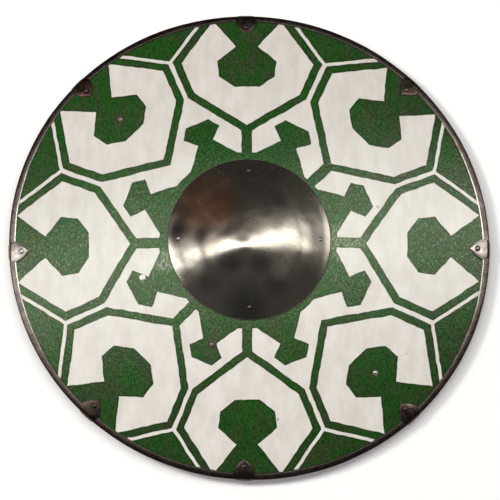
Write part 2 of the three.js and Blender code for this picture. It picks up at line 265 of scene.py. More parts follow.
class Wiring:
    """Lays nodes in one tree and joins them."""

    def __init__(self, tree: bpy.types.NodeTree) -> None:
        """Starts on a tree."""
        self.tree = tree

    def feed(self, target: Socket, value: Feed) -> None:
        """Gives an input a link or a plain value.

        Args:
            target: The input.
            value: A socket, a number, or a colour or vector.
        """
        if isinstance(value, bpy.types.NodeSocket):
            self.tree.links.new(value, target)
        elif isinstance(value, tuple) and target.type == "RGBA":
            target.default_value = (*value, 1.0)
        else:
            target.default_value = value

    def fill(self, node: bpy.types.Node, **values: Feed) -> bpy.types.Node:
        """Gives several inputs of a node their values.

        Args:
            node: The node.
            **values: Its inputs by name, with _ for a space.

        Returns:
            The node.
        """
        for name, value in values.items():
            self.feed(node.inputs[name.replace("_", " ")], value)
        return node

    def node(self, kind: str, *values: Feed, **settings: object) -> bpy.types.Node:
        """Adds a node.

        Args:
            kind: The node's type name.
            *values: What its first inputs get.
            **settings: Properties of the node.

        Returns:
            The new node.
        """
        made = self.tree.nodes.new(kind)
        for name, value in settings.items():
            setattr(made, name, value)
        for target, value in zip(made.inputs, values):
            self.feed(target, value)
        return made

    def math(self, operation: str, *values: Feed) -> Socket:
        """Does arithmetic on numbers."""
        return self.node("ShaderNodeMath", *values, operation=operation).outputs[0]

    def fold(self, operation: str, *values: Feed) -> Socket:
        """Runs arithmetic of two numbers along a row of them."""
        return reduce(lambda result, value: self.math(operation, result, value), values)

    def times(self, *values: Feed) -> Socket:
        """The product of several numbers."""
        return self.fold("MULTIPLY", *values)

    def plus(self, *values: Feed) -> Socket:
        """The sum of several numbers."""
        return self.fold("ADD", *values)

    def minus(self, whole: Feed, part: Feed) -> Socket:
        """One number less another."""
        return self.math("SUBTRACT", whole, part)

    def most(self, *values: Feed) -> Socket:
        """The largest of several numbers."""
        return self.fold("MAXIMUM", *values)

    def least(self, *values: Feed) -> Socket:
        """The smallest of several numbers."""
        return self.fold("MINIMUM", *values)

    def vector(self, operation: str, *values: Feed) -> Socket:
        """Does arithmetic on vectors, which gives a vector."""
        return self.node("ShaderNodeVectorMath", *values, operation=operation).outputs["Vector"]

    def measure(self, operation: str, *values: Feed) -> Socket:
        """Does arithmetic on vectors, which gives a number."""
        return self.node("ShaderNodeVectorMath", *values, operation=operation).outputs["Value"]

    def scaled(self, vector: Feed, factor: Feed) -> Socket:
        """A vector made longer."""
        made = self.node("ShaderNodeVectorMath", vector, operation="SCALE")
        return self.fill(made, Scale=factor).outputs[0]

    def turned(self, vector: Socket, angle: float) -> Socket:
        """A vector turned about the Z axis."""
        made = self.node("ShaderNodeVectorRotate", rotation_type="Z_AXIS")
        return self.fill(made, Vector=vector, Angle=angle).outputs[0]

    def split(self, vector: Socket) -> Outputs:
        """The three parts of a vector."""
        return self.node("ShaderNodeSeparateXYZ", vector).outputs

    def spread(self, value: Feed, span: Pair, reach: Pair = (0.0, 1.0)) -> Socket:
        """Eases a number from the ends of one span to the ends of another."""
        made = self.node("ShaderNodeMapRange", value, *span, *reach, interpolation_type="SMOOTHSTEP")
        return made.outputs[0]

    def mix(self, share: Feed, low: Feed, high: Feed, blend: str = "MIX") -> Socket:
        """Mixes two colours.

        Args:
            share: How much of the second colour shows.
            low: The first colour.
            high: The second colour.
            blend: How the second colour is laid on the first.

        Returns:
            The mixed colour.
        """
        made = self.node("ShaderNodeMix", share, data_type="RGBA", blend_type=blend)
        self.feed(made.inputs[MIX_LOW], low)
        self.feed(made.inputs[MIX_HIGH], high)
        return made.outputs[MIX_RESULT]

    def cloud(self, place: Socket, scale: Feed, detail: float = 2.0, rough: float = 0.5,
              twist: float = 0.0) -> Outputs:
        """Adds cloudy noise.

        Args:
            place: The coordinates.
            scale: Clouds per metre.
            detail: How many finer layers it has.
            rough: How strong the finer layers are.
            twist: How far the clouds are twisted.

        Returns:
            The noise as a number, and its colour under the name Color.
        """
        made = self.node("ShaderNodeTexNoise")
        self.fill(made, Vector=place, Scale=scale, Detail=detail, Roughness=rough, Distortion=twist)
        return made.outputs

    def cells(self, place: Socket, scale: float, feature: str = "F1") -> Outputs:
        """Adds a pattern of cells, by the number of cells per metre."""
        made = self.node("ShaderNodeTexVoronoi", feature=feature)
        return self.fill(made, Vector=place, Scale=scale).outputs

    def bump(self, height: Socket, strength: float, distance: float, **under: Socket) -> Socket:
        """Turns a height into a normal.

        Args:
            height: The height, from 0 to 1.
            strength: How far the normal leans.
            distance: The height of 1, in millimetres.
            **under: A Normal to start from.

        Returns:
            The new normal.
        """
        made = self.node("ShaderNodeBump")
        return self.fill(made, Strength=strength, Distance=distance * MM, Height=height, **under).outputs[0]

    def place(self) -> Socket:
        """The surface's own coordinates, in metres."""
        return self.node("ShaderNodeTexCoord").outputs["Object"]

    def level(self, place: Socket) -> Socket:
        """Coordinates without their height."""
        return self.vector("MULTIPLY", place, (1.0, 1.0, 0.0))

    def use(self, effect: SharedEffect, **values: Feed) -> Outputs:
        """Places a shared effect in this tree, with its inputs by name."""
        return self.fill(self.node("ShaderNodeGroup", node_tree=effect.group()), **values).outputs


class SharedEffect:
    """An effect on coordinates that several finishes use, kept as one node group."""

    title: str = ""
    takes: tuple[str, ...] = ()
    gives: tuple[str, ...] = ()

    def group(self) -> bpy.types.NodeTree:
        """Finds the group, or makes it the first time.

        Returns:
            The node group.
        """
        tree = bpy.data.node_groups.get(self.title)
        if tree is None:
            tree = bpy.data.node_groups.new(self.title, "ShaderNodeTree")
            tree.interface.new_socket("Place", in_out="INPUT", socket_type="NodeSocketVector")
            for way, names in (("INPUT", self.takes), ("OUTPUT", self.gives)):
                for name in names:
                    tree.interface.new_socket(name, in_out=way, socket_type="NodeSocketFloat")
            wiring = Wiring(tree)
            results = self.lay(wiring, wiring.node("NodeGroupInput").outputs)
            wiring.node("NodeGroupOutput", *results)
        return tree

    def lay(self, wiring: Wiring, source: Outputs) -> tuple[Socket, ...]:
        """Lays the nodes of the effect.

        Args:
            wiring: The group's tree.
            source: The group's inputs, as sockets to read.

        Returns:
            What the group gives, in order.
        """
        raise NotImplementedError


class Mottle(SharedEffect):
    """Clouds of tone, a fine grit and a few stray specks, as on any hand-finished surface."""

    title = "mottle"
    takes = ("Clouds", "Grit")
    gives = ("Tone", "Grit", "Specks")

    def lay(self, wiring: Wiring, source: Outputs) -> tuple[Socket, ...]:
        """Lays the clouds, the grit and the specks.

        Args:
            wiring: The group's tree.
            source: The group's inputs.

        Returns:
            The tone, the grit and the specks.
        """
        place = source["Place"]
        clouds = wiring.cloud(place, source["Clouds"], 4.0, 0.6)[0]
        grit = wiring.cloud(place, source["Grit"], 2.0, 0.6)[0]
        dots = wiring.cells(place, 55.0)
        chance = wiring.node("ShaderNodeSeparateColor", dots["Color"]).outputs[0]
        size = wiring.spread(chance, (0.90, 1.0), (0.0, 0.10))
        specks = wiring.math("LESS_THAN", dots["Distance"], size)
        return wiring.spread(clouds, (0.25, 0.75)), grit, specks


class Scratches(SharedEffect):
    """Fine polishing lines round the axis and a few longer scratches."""

    title = "scratches"
    takes = ("Fineness",)
    gives = ("Lines", "Marks")

    def lay(self, wiring: Wiring, source: Outputs) -> tuple[Socket, ...]:
        """Lays the lines and the scratches.

        Args:
            wiring: The group's tree.
            source: The group's inputs.

        Returns:
            The lines and the scratches.
        """
        place = source["Place"]
        stretched = wiring.vector("MULTIPLY", place, (0.25, 1.6, 1.0))
        lines = wiring.cloud(stretched, source["Fineness"], 3.0, 0.65)[0]
        long_way = wiring.vector("MULTIPLY", wiring.turned(place, 0.7), (14.0, 95.0, 30.0))
        cells = wiring.cells(long_way, 1.0, "DISTANCE_TO_EDGE")
        edge = wiring.spread(cells["Distance"], (0.0, 0.035), (1.0, 0.0))
        patch = wiring.spread(wiring.cloud(place, 23.0, 1.0)[0], (0.58, 0.66))
        return lines, wiring.times(edge, patch)


class WoodGrain(SharedEffect):
    """Long grain with pores, along the X axis of the coordinates."""

    title = "wood_grain"
    takes = ("Rings",)
    gives = ("Tone", "Pores")

    def lay(self, wiring: Wiring, source: Outputs) -> tuple[Socket, ...]:
        """Lays the grain and the pores.

        Args:
            wiring: The group's tree.
            source: The group's inputs.

        Returns:
            The tone and the pores.
        """
        place = source["Place"]
        along = wiring.vector("MULTIPLY", place, (0.09, 1.0, 1.0))
        figure = wiring.cloud(along, source["Rings"], 3.0, 0.55, 0.6)[0]
        bands = wiring.math("PINGPONG", wiring.times(figure, 7.0), 0.5)
        fine = wiring.cloud(along, 900.0, 2.0, 0.7)[0]
        tone = wiring.plus(wiring.times(bands, 1.3), wiring.times(fine, 0.45))
        streaks = wiring.vector("MULTIPLY", place, (60.0, 1400.0, 1400.0))
        pores = wiring.cloud(streaks, 1.0, 1.0)[0]
        return wiring.spread(tone, (0.15, 0.95)), wiring.spread(pores, (0.60, 0.72))


@dataclass(frozen=True)
class OrnamentPlan:
    """Corner points of the painted ornament, which is one half cell mirrored round the face.

    The points of a cell are (along its axis, off its axis), and those of the hammer lie the same way
    on the axis between two cells. The middles are places on an axis inside each form. The strays say
    how far the hand set each cell off its place.
    """

    horn: Pair = (293.9, 43.4)
    shoulder: Pair = (236.0, 84.0)
    hip: Pair = (194.3, 66.8)
    foot: Pair = (149.5, 0.0)
    cell_middle: float = 200.0
    key_neck: Pair = (258.2, 13.9)
    key_cheek: Pair = (237.8, 38.0)
    key_jaw: Pair = (217.0, 35.5)
    key_chin: Pair = (202.4, 15.8)
    key_middle: float = 230.0
    mouth: float = 250.0
    mouth_middle: float = 290.0
    hammer_neck: Pair = (137.0, 10.4)
    hammer_side: Pair = (151.0, 25.0)
    hammer_top: Pair = (165.0, 15.6)
    hammer_middle: float = 155.0
    ring_foot: Pair = (108.8, 31.7)
    ring_middle: float = 90.0
    ring_radius: float = 113.0
    band: float = 9.9
    arm: float = 4.2
    bar_half_width: float = 6.7
    bare_axis: float = math.radians(135)
    strays: tuple[Pair, ...] = (
        (-1.0, -2.2), (-1.0, -4.0), (-3.0, 3.0), (-3.0, 1.5),
        (-1.5, -3.0), (8.0, -5.0), (-2.5, -1.5), (-6.0, -5.5))
    slow_waver: float = 0.6
    quick_waver: float = 1.2
    softness: float = 0.45
    edge_width: float = 2.2


class Ornament(SharedEffect):
    """The painted ornament: where it is white, and how near the edge of a colour is."""

    title = "ornament"
    gives = ("White", "Edge")

    def __init__(self, plan: OrnamentPlan) -> None:
        """Keeps the plan of the corner points."""
        self.plan = plan

    def lay(self, wiring: Wiring, source: Outputs) -> tuple[Socket, ...]:
        """Draws the cells, the lines between them and the ring.

        Args:
            wiring: The group's tree.
            source: The group's inputs.

        Returns:
            The white and the edges.
        """
        plan = self.plan
        level = self._hand_laid(wiring, source["Place"])
        reach = wiring.measure("LENGTH", level)
        parts = wiring.split(level)
        folded = wiring.math("PINGPONG", wiring.math("ARCTAN2", parts[1], parts[0]), math.pi / 8)
        cell = self._polar(wiring, reach, folded)
        between = self._polar(wiring, reach, wiring.minus(math.pi / 8, folded))

        arm_line = self._outside(wiring, cell, plan.cell_middle, plan.horn, plan.shoulder)
        body = self._outside(wiring, cell, plan.cell_middle, plan.shoulder, plan.hip, plan.foot)
        cell_edge = wiring.most(arm_line, body)
        chin = (plan.key_chin[0], -plan.key_chin[1])
        key = self._outside(
            wiring, cell, plan.key_middle,
            plan.key_neck, plan.key_cheek, plan.key_jaw, plan.key_chin, chin)
        mouth = wiring.most(
            self._outside(wiring, cell, plan.mouth_middle, plan.horn, plan.key_neck),
            self._outside(wiring, cell, plan.mouth_middle, (plan.mouth, 1.0), (plan.mouth, -1.0)))
        cells = wiring.most(cell_edge, wiring.times(wiring.least(key, mouth), -1.0))

        top = (plan.hammer_top[0], -plan.hammer_top[1])
        head = self._outside(
            wiring, between, plan.hammer_middle,
            plan.hammer_neck, plan.hammer_side, plan.hammer_top, top)
        ring = self._outside(wiring, between, plan.ring_middle, plan.ring_foot, plan.hammer_neck)
        lines = wiring.most(
            wiring.minus(plan.band, cell_edge),
            wiring.minus(arm_line, plan.band + plan.arm),
            wiring.times(wiring.least(head, ring), -1.0),
            wiring.minus(plan.ring_radius, reach),
            self._bar(wiring, level, reach, cell))
        border = wiring.least(cells, lines)
        nearness = wiring.math("ABSOLUTE", wiring.minus(border, 0.5))
        white = wiring.spread(border, (-plan.softness, plan.softness), (1.0, 0.0))
        return white, wiring.spread(nearness, (0.0, plan.edge_width), (1.0, 0.0))

    def _hand_laid(self, wiring: Wiring, place: Socket) -> Socket:
        """Moves the coordinates as the painter's hand strayed.

        Args:
            wiring: The group's tree.
            place: The coordinates in metres.

        Returns:
            The coordinates on the plan, in millimetres.
        """
        plan = self.plan
        scaled = wiring.scaled(place, 1.0 / MM)
        for scale, amount in ((7.0, plan.slow_waver), (75.0, plan.quick_waver)):
            drift = wiring.cloud(place, scale, 1.0)["Color"]
            centred = wiring.vector("SUBTRACT", drift, (0.5, 0.5, 0.5))
            scaled = wiring.vector("ADD", scaled, wiring.scaled(centred, 2.0 * amount))
        level = wiring.level(scaled)
        heading = wiring.vector("NORMALIZE", level)
        for eighth, stray in zip(Eighth, plan.strays):
            axis = (math.cos(eighth.turn), math.sin(eighth.turn), 0.0)
            near = wiring.most(wiring.measure("DOT_PRODUCT", heading, axis), 0.0)
            double = wiring.math("MULTIPLY_ADD", wiring.times(near, near), 2.0, -1.0)
            share = wiring.math("POWER", wiring.most(double, 0.0), 2.0)
            level = wiring.vector("SUBTRACT", level, wiring.scaled((*stray, 0.0), share))
        return level

    @staticmethod
    def _polar(wiring: Wiring, reach: Socket, turn: Socket) -> Socket:
        """A point at a distance and turn off an axis, as (along, off, 1) for a line's distance."""
        parts = (wiring.times(reach, wiring.math(name, turn)) for name in ("COSINE", "SINE"))
        return wiring.node("ShaderNodeCombineXYZ", *parts, 1.0).outputs[0]

    @staticmethod
    def _outside(wiring: Wiring, point: Socket, middle: float, *corners: Pair) -> Socket:
        """How far a point is outside a row of straight edges.

        Args:
            wiring: The group's tree.
            point: The point as (along, off, 1).
            middle: A place on the axis that is inside every edge.
            *corners: The corners along the row.

        Returns:
            The distance, less than 0 inside.
        """
        sides = []
        for start, end in zip(corners, corners[1:]):
            normal = Vector((start[1] - end[1], end[0] - start[0])).normalized()
            shift = -normal.dot(Vector(start))
            way = -1.0 if normal.x * middle + shift > 0 else 1.0
            edge = (way * normal.x, way * normal.y, way * shift)
            sides.append(wiring.measure("DOT_PRODUCT", point, edge))
        return wiring.most(*sides)

    def _bar(self, wiring: Wiring, level: Socket, reach: Socket, cell: Socket) -> Socket:
        """The bar from a cell's foot to the ring, which two opposite cells go without.

        Args:
            wiring: The group's tree.
            level: The coordinates on the plan.
            reach: Distance from the middle.
            cell: The point in the cell as (along, off, 1).

        Returns:
            The distance into the bar, over 0 where it is green.
        """
        plan = self.plan
        depth = wiring.minus(plan.bar_half_width, wiring.split(cell)[1])
        axis = (math.cos(plan.bare_axis), math.sin(plan.bare_axis), 0.0)
        along = wiring.math("ABSOLUTE", wiring.measure("DOT_PRODUCT", level, axis))
        bare = wiring.math("GREATER_THAN", wiring.math("DIVIDE", along, reach), math.cos(math.pi / 8))
        return wiring.minus(depth, wiring.times(bare, 1000.0))


MOTTLE = Mottle()
SCRATCHES = Scratches()
GRAIN = WoodGrain()


@dataclass(frozen=True)
class Finish:
    """A finish, whose nodes end in one Principled shader."""

    name: str

    def lay(self, wiring: Wiring, shader: bpy.types.Node) -> None:
        """Lays the nodes of the finish.

        Args:
            wiring: The material's tree.
            shader: Its shader.
        """
        raise NotImplementedError

    def surface(self, wiring: Wiring, shader: bpy.types.Node) -> Socket:
        """What the material shows, which is the shader as it is."""
        return shader.outputs[0]


class Finishes:
    """Makes each finish's material once, when it is first asked for."""

    def __init__(self) -> None:
        """Starts with none made."""
        self._made: dict[str, bpy.types.Material] = {}

    def get(self, finish: Finish) -> bpy.types.Material:
        """Finds a finish's material, or makes it.

        Args:
            finish: The finish.

        Returns:
            Its material.
        """
        if finish.name not in self._made:
            material = bpy.data.materials.new(finish.name)
            material.use_nodes = True
            material.node_tree.nodes.clear()
            wiring = Wiring(material.node_tree)
            shader = wiring.node("ShaderNodeBsdfPrincipled")
            finish.lay(wiring, shader)
            wiring.node("ShaderNodeOutputMaterial", finish.surface(wiring, shader))
            self._made[finish.name] = material
        return self._made[finish.name]


FINISHES = Finishes()


@dataclass(frozen=True)
class PaintFinish(Finish):
    """Green and off-white satin paint, brushed on by hand."""

    name: str = "painted_face"
    plan: OrnamentPlan = OrnamentPlan()
    green_deep: Colour = (0.024, 0.047, 0.0155)
    green_light: Colour = (0.0135, 0.071, 0.0085)
    green_edge: Colour = (0.010, 0.027, 0.005)
    white_warm: Colour = (0.69, 0.645, 0.595)
    white_pale: Colour = (0.80, 0.765, 0.735)
    speck: Colour = (0.20, 0.19, 0.15)
    green_inner: Colour = (0.034, 0.105, 0.0225)
    inner_span: Pair = (0.10, 0.27)
    # Painted shade: a deeper green on the paint round the upper side of the boss, darkening where the light
    # falls too strongly.
    painted_shade_green: Colour = (0.004, 0.052, 0.002)
    painted_shade_middle: Triple = (-0.005, 0.060, 0.0)
    painted_shade_span: Pair = (0.075, 0.16)
    olive: Colour = (1.40, 0.93, 1.30)
    fresh: Colour = (0.80, 1.05, 0.85)
    # A pale grey-green for flecks on two spots of the bars east and west of the boss.
    pale_fleck: Colour = (0.36, 0.38, 0.29)
    pale_fleck_spots: tuple[Triple, ...] = ((0.124, -0.001, 0.034), (-0.108, -0.027, 0.019))
    # Painted light and shade: the white is made lighter towards the bottom right and darker towards the top
    # left, as the light falls.
    painted_light_way: Triple = (0.5, -0.87, 0.0)
    painted_light_span: Pair = (0.91, 1.11)
    roughness: Pair = (0.17, 0.30)
    sheen: Colour = (0.78, 1.0, 0.67)
    fleck_coat: float = 1.0
    white_coat: float = 0.6

    def lay(self, wiring: Wiring, shader: bpy.types.Node) -> None:
        """Lays the two colours, the gloss and the brush strokes.

        Args:
            wiring: The material's tree.
            shader: Its shader.
        """
        place = wiring.place()
        drawn = wiring.use(Ornament(self.plan), Place=place)
        broad = wiring.use(MOTTLE, Place=place, Clouds=16.0, Grit=420.0)
        brushed = wiring.vector("MULTIPLY", place, (1.0, 0.4, 1.0))
        coat = wiring.use(MOTTLE, Place=brushed, Clouds=70.0, Grit=600.0)
        mask = drawn["White"]
        green = self._green(wiring, place, broad, coat)
        green = wiring.mix(wiring.times(drawn["Edge"], 0.7), green, self.green_edge)
        white = wiring.mix(coat["Tone"], self.white_warm, self.white_pale)
        # Painted light and shade on the white, lighter towards the bottom right.
        along = wiring.measure("DOT_PRODUCT", place, self.painted_light_way)
        white = wiring.mix(1.0, white, wiring.spread(along, (-0.25, 0.25), self.painted_light_span), "MULTIPLY")
        white = wiring.mix(wiring.times(broad["Specks"], 0.6), white, self.speck)
        fleck = wiring.spread(coat["Grit"], (0.55, 0.67), (0.0, self.fleck_coat))
        flecked = wiring.times(wiring.minus(1.0, mask), fleck)
        raised = wiring.plus(wiring.times(coat["Grit"], 0.5), broad["Grit"])
        raised = wiring.times(raised, wiring.spread(mask, (0.0, 1.0), (1.0, 0.25)))
        wiring.fill(
            shader,
            Base_Color=wiring.mix(mask, green, white),
            Roughness=wiring.spread(mask, (0.0, 1.0), self.roughness),
            Coat_Weight=wiring.plus(flecked, wiring.times(mask, self.white_coat)),
            Coat_Roughness=0.22,
            Specular_IOR_Level=0.40,
            Specular_Tint=self.sheen,
            Normal=wiring.bump(mask, 0.35, 0.12, Normal=wiring.bump(raised, 0.25, 1.0)))

    def _green(self, wiring: Wiring, place: Socket, broad: Outputs, coat: Outputs) -> Socket:
        """Mixes the green: lighter near the boss, deeper round the upper side of the boss as painted shade,
        streaked by the brush, and flecked pale on two spots beside the boss.

        Args:
            wiring: The material's tree.
            place: The coordinates.
            broad: The wide mottle.
            coat: The mottle of the brush strokes.

        Returns:
            The colour.
        """
        level = wiring.level(place)
        green = wiring.mix(broad["Tone"], self.green_deep, self.green_light)
        inner = wiring.spread(wiring.measure("LENGTH", level), self.inner_span, (0.25, 0.0))
        green = wiring.mix(inner, green, self.green_inner)
        # Painted shade: a deeper green round the upper side of the boss.
        away = wiring.measure("DISTANCE", level, self.painted_shade_middle)
        green = wiring.mix(wiring.spread(away, self.painted_shade_span, (0.9, 0.0)), green, self.painted_shade_green)
        hue = wiring.mix(wiring.spread(coat["Tone"], (0.3, 0.7)), self.olive, self.fresh)
        streak = wiring.spread(coat["Grit"], (0.3, 0.7), (0.6, 1.45))
        for tint in (hue, streak):
            green = wiring.mix(1.0, green, tint, "MULTIPLY")
        # Pale grey-green flecks, from the fine grit, on two spots of the bars east and west of the boss.
        fleck_grit = wiring.spread(coat["Grit"], (0.42, 0.64), (0.16, 0.7))
        for across, up, size in self.pale_fleck_spots:
            away = wiring.measure("DISTANCE", level, (across, up, 0.0))
            blotches = wiring.spread(away, (0.4 * size, size), (1.0, 0.0))
            green = wiring.mix(wiring.times(blotches, fleck_grit), green, self.pale_fleck)
        return green


@dataclass(frozen=True)
class WoodFinish(Finish):
    """Oiled wood with long grain, its grain turned about the Z axis."""

    pale: Colour
    dark: Colour
    turn: float = 0.0
    rings: float = 11.0
    roughness: float = 0.58

    def lay(self, wiring: Wiring, shader: bpy.types.Node) -> None:
        """Lays the grain, the pores and the soil.

        Args:
            wiring: The material's tree.
            shader: Its shader.
        """
        place = wiring.turned(wiring.place(), -self.turn)
        grain = wiring.use(GRAIN, Place=place, Rings=self.rings)
        soil = wiring.use(MOTTLE, Place=place, Clouds=9.0, Grit=300.0)
        colour = wiring.mix(grain["Tone"], self.dark, self.pale)
        for share in (wiring.times(grain["Pores"], 0.5), wiring.times(soil["Tone"], 0.35)):
            colour = wiring.mix(share, colour, self.dark)
        level = wiring.spread(grain["Tone"], (0.0, 1.0), (self.roughness + 0.1, self.roughness))
        normal = wiring.bump(wiring.minus(grain["Tone"], grain["Pores"]), 0.25, 0.25)
        wiring.fill(shader, Base_Color=colour, Roughness=level, Normal=normal)


@dataclass(frozen=True)
class LeatherFinish(Finish):
    """Brown tanned leather with a pebbled grain."""

    name: str = "strap_leather"
    brown: Colour = (0.115, 0.052, 0.024)
    dark: Colour = (0.050, 0.022, 0.011)
    roughness: float = 0.52

    def lay(self, wiring: Wiring, shader: bpy.types.Node) -> None:
        """Lays the pebbles and the wear.

        Args:
            wiring: The material's tree.
            shader: Its shader.
        """
        place = wiring.place()
        blotches = wiring.use(MOTTLE, Place=place, Clouds=30.0, Grit=700.0)
        pebbles = wiring.cells(place, 620.0, "SMOOTH_F1")["Distance"]
        colour = wiring.mix(blotches["Tone"], self.dark, self.brown)
        crease = wiring.spread(pebbles, (0.45, 0.75))
        colour = wiring.mix(wiring.times(crease, 0.5), colour, self.dark)
        level = wiring.spread(blotches["Grit"], (0.3, 0.7), (self.roughness - 0.1, self.roughness + 0.1))
        normal = wiring.bump(wiring.minus(1.0, pebbles), 0.35, 0.3)
        wiring.fill(shader, Base_Color=colour, Roughness=level, Normal=normal)


@dataclass(frozen=True)
class Patch:
    """A frayed spot of another tone, such as a brown heat tint or dark scale, or a painted highlight or
    painted shade on the steel.
    """

    across: float
    up: float
    size: float
    colour: Colour
    share: float = 0.75
    fray: float = 0.3

    def mask(self, wiring: Wiring, level: Socket, tone: Socket) -> Socket:
        """How much of the patch shows.

        Args:
            wiring: The material's tree.
            level: The coordinates without their height.
            tone: Clouds that fray the patch.

        Returns:
            A share from 0 to 1.
        """
        size = self.size * MM
        apart = wiring.measure("DISTANCE", level, (self.across * MM, self.up * MM, 0.0))
        frayed = wiring.plus(apart, wiring.times(tone, self.fray * size))
        return wiring.spread(frayed, (0.25 * size, 1.15 * size), (self.share, 0.0))


@dataclass(frozen=True)
class SteelFinish(Finish):
    """Hand-worked sheet steel: its two tones, its stain, and how finely it is polished."""

    bright: Colour
    dull: Colour
    stain: Colour
    stain_share: float
    roughness: float
    roughness_spread: float
    clouds: float
    dents: float
    patches: tuple[Patch, ...] = ()
    lines: float = 900.0

    def lay(self, wiring: Wiring, shader: bpy.types.Node) -> None:
        """Lays the tones, the stain, the patches and the scratches.

        Args:
            wiring: The material's tree.
            shader: Its shader.
        """
        place = wiring.place()
        blotches = wiring.use(MOTTLE, Place=place, Clouds=self.clouds, Grit=450.0)
        wider = wiring.use(MOTTLE, Place=place, Clouds=self.clouds * 0.35, Grit=160.0)
        marked = wiring.use(SCRATCHES, Place=place, Fineness=self.lines)
        colour = wiring.mix(blotches["Tone"], self.dull, self.bright)
        colour = wiring.mix(wiring.times(wider["Tone"], self.stain_share), colour, self.stain)
        level = wiring.level(place)
        for patch in self.patches:
            colour = wiring.mix(patch.mask(wiring, level, wider["Tone"]), colour, patch.colour)
        colour = wiring.mix(wiring.times(marked["Marks"], 0.2), colour, self.bright)
        low = self.roughness - self.roughness_spread / 2
        gloss = wiring.spread(blotches["Tone"], (0.0, 1.0), (low + self.roughness_spread, low))
        streaks = wiring.spread(marked["Lines"], (0.3, 0.7), (-0.03, 0.03))
        fine = wiring.plus(marked["Lines"], wiring.times(marked["Marks"], -0.6))
        dented = wiring.bump(wider["Grit"], self.dents, 0.5)
        wiring.fill(
            shader,
            Base_Color=colour,
            Metallic=1.0,
            Roughness=wiring.plus(gloss, streaks),
            Normal=wiring.bump(fine, 0.10, 0.06, Normal=dented))


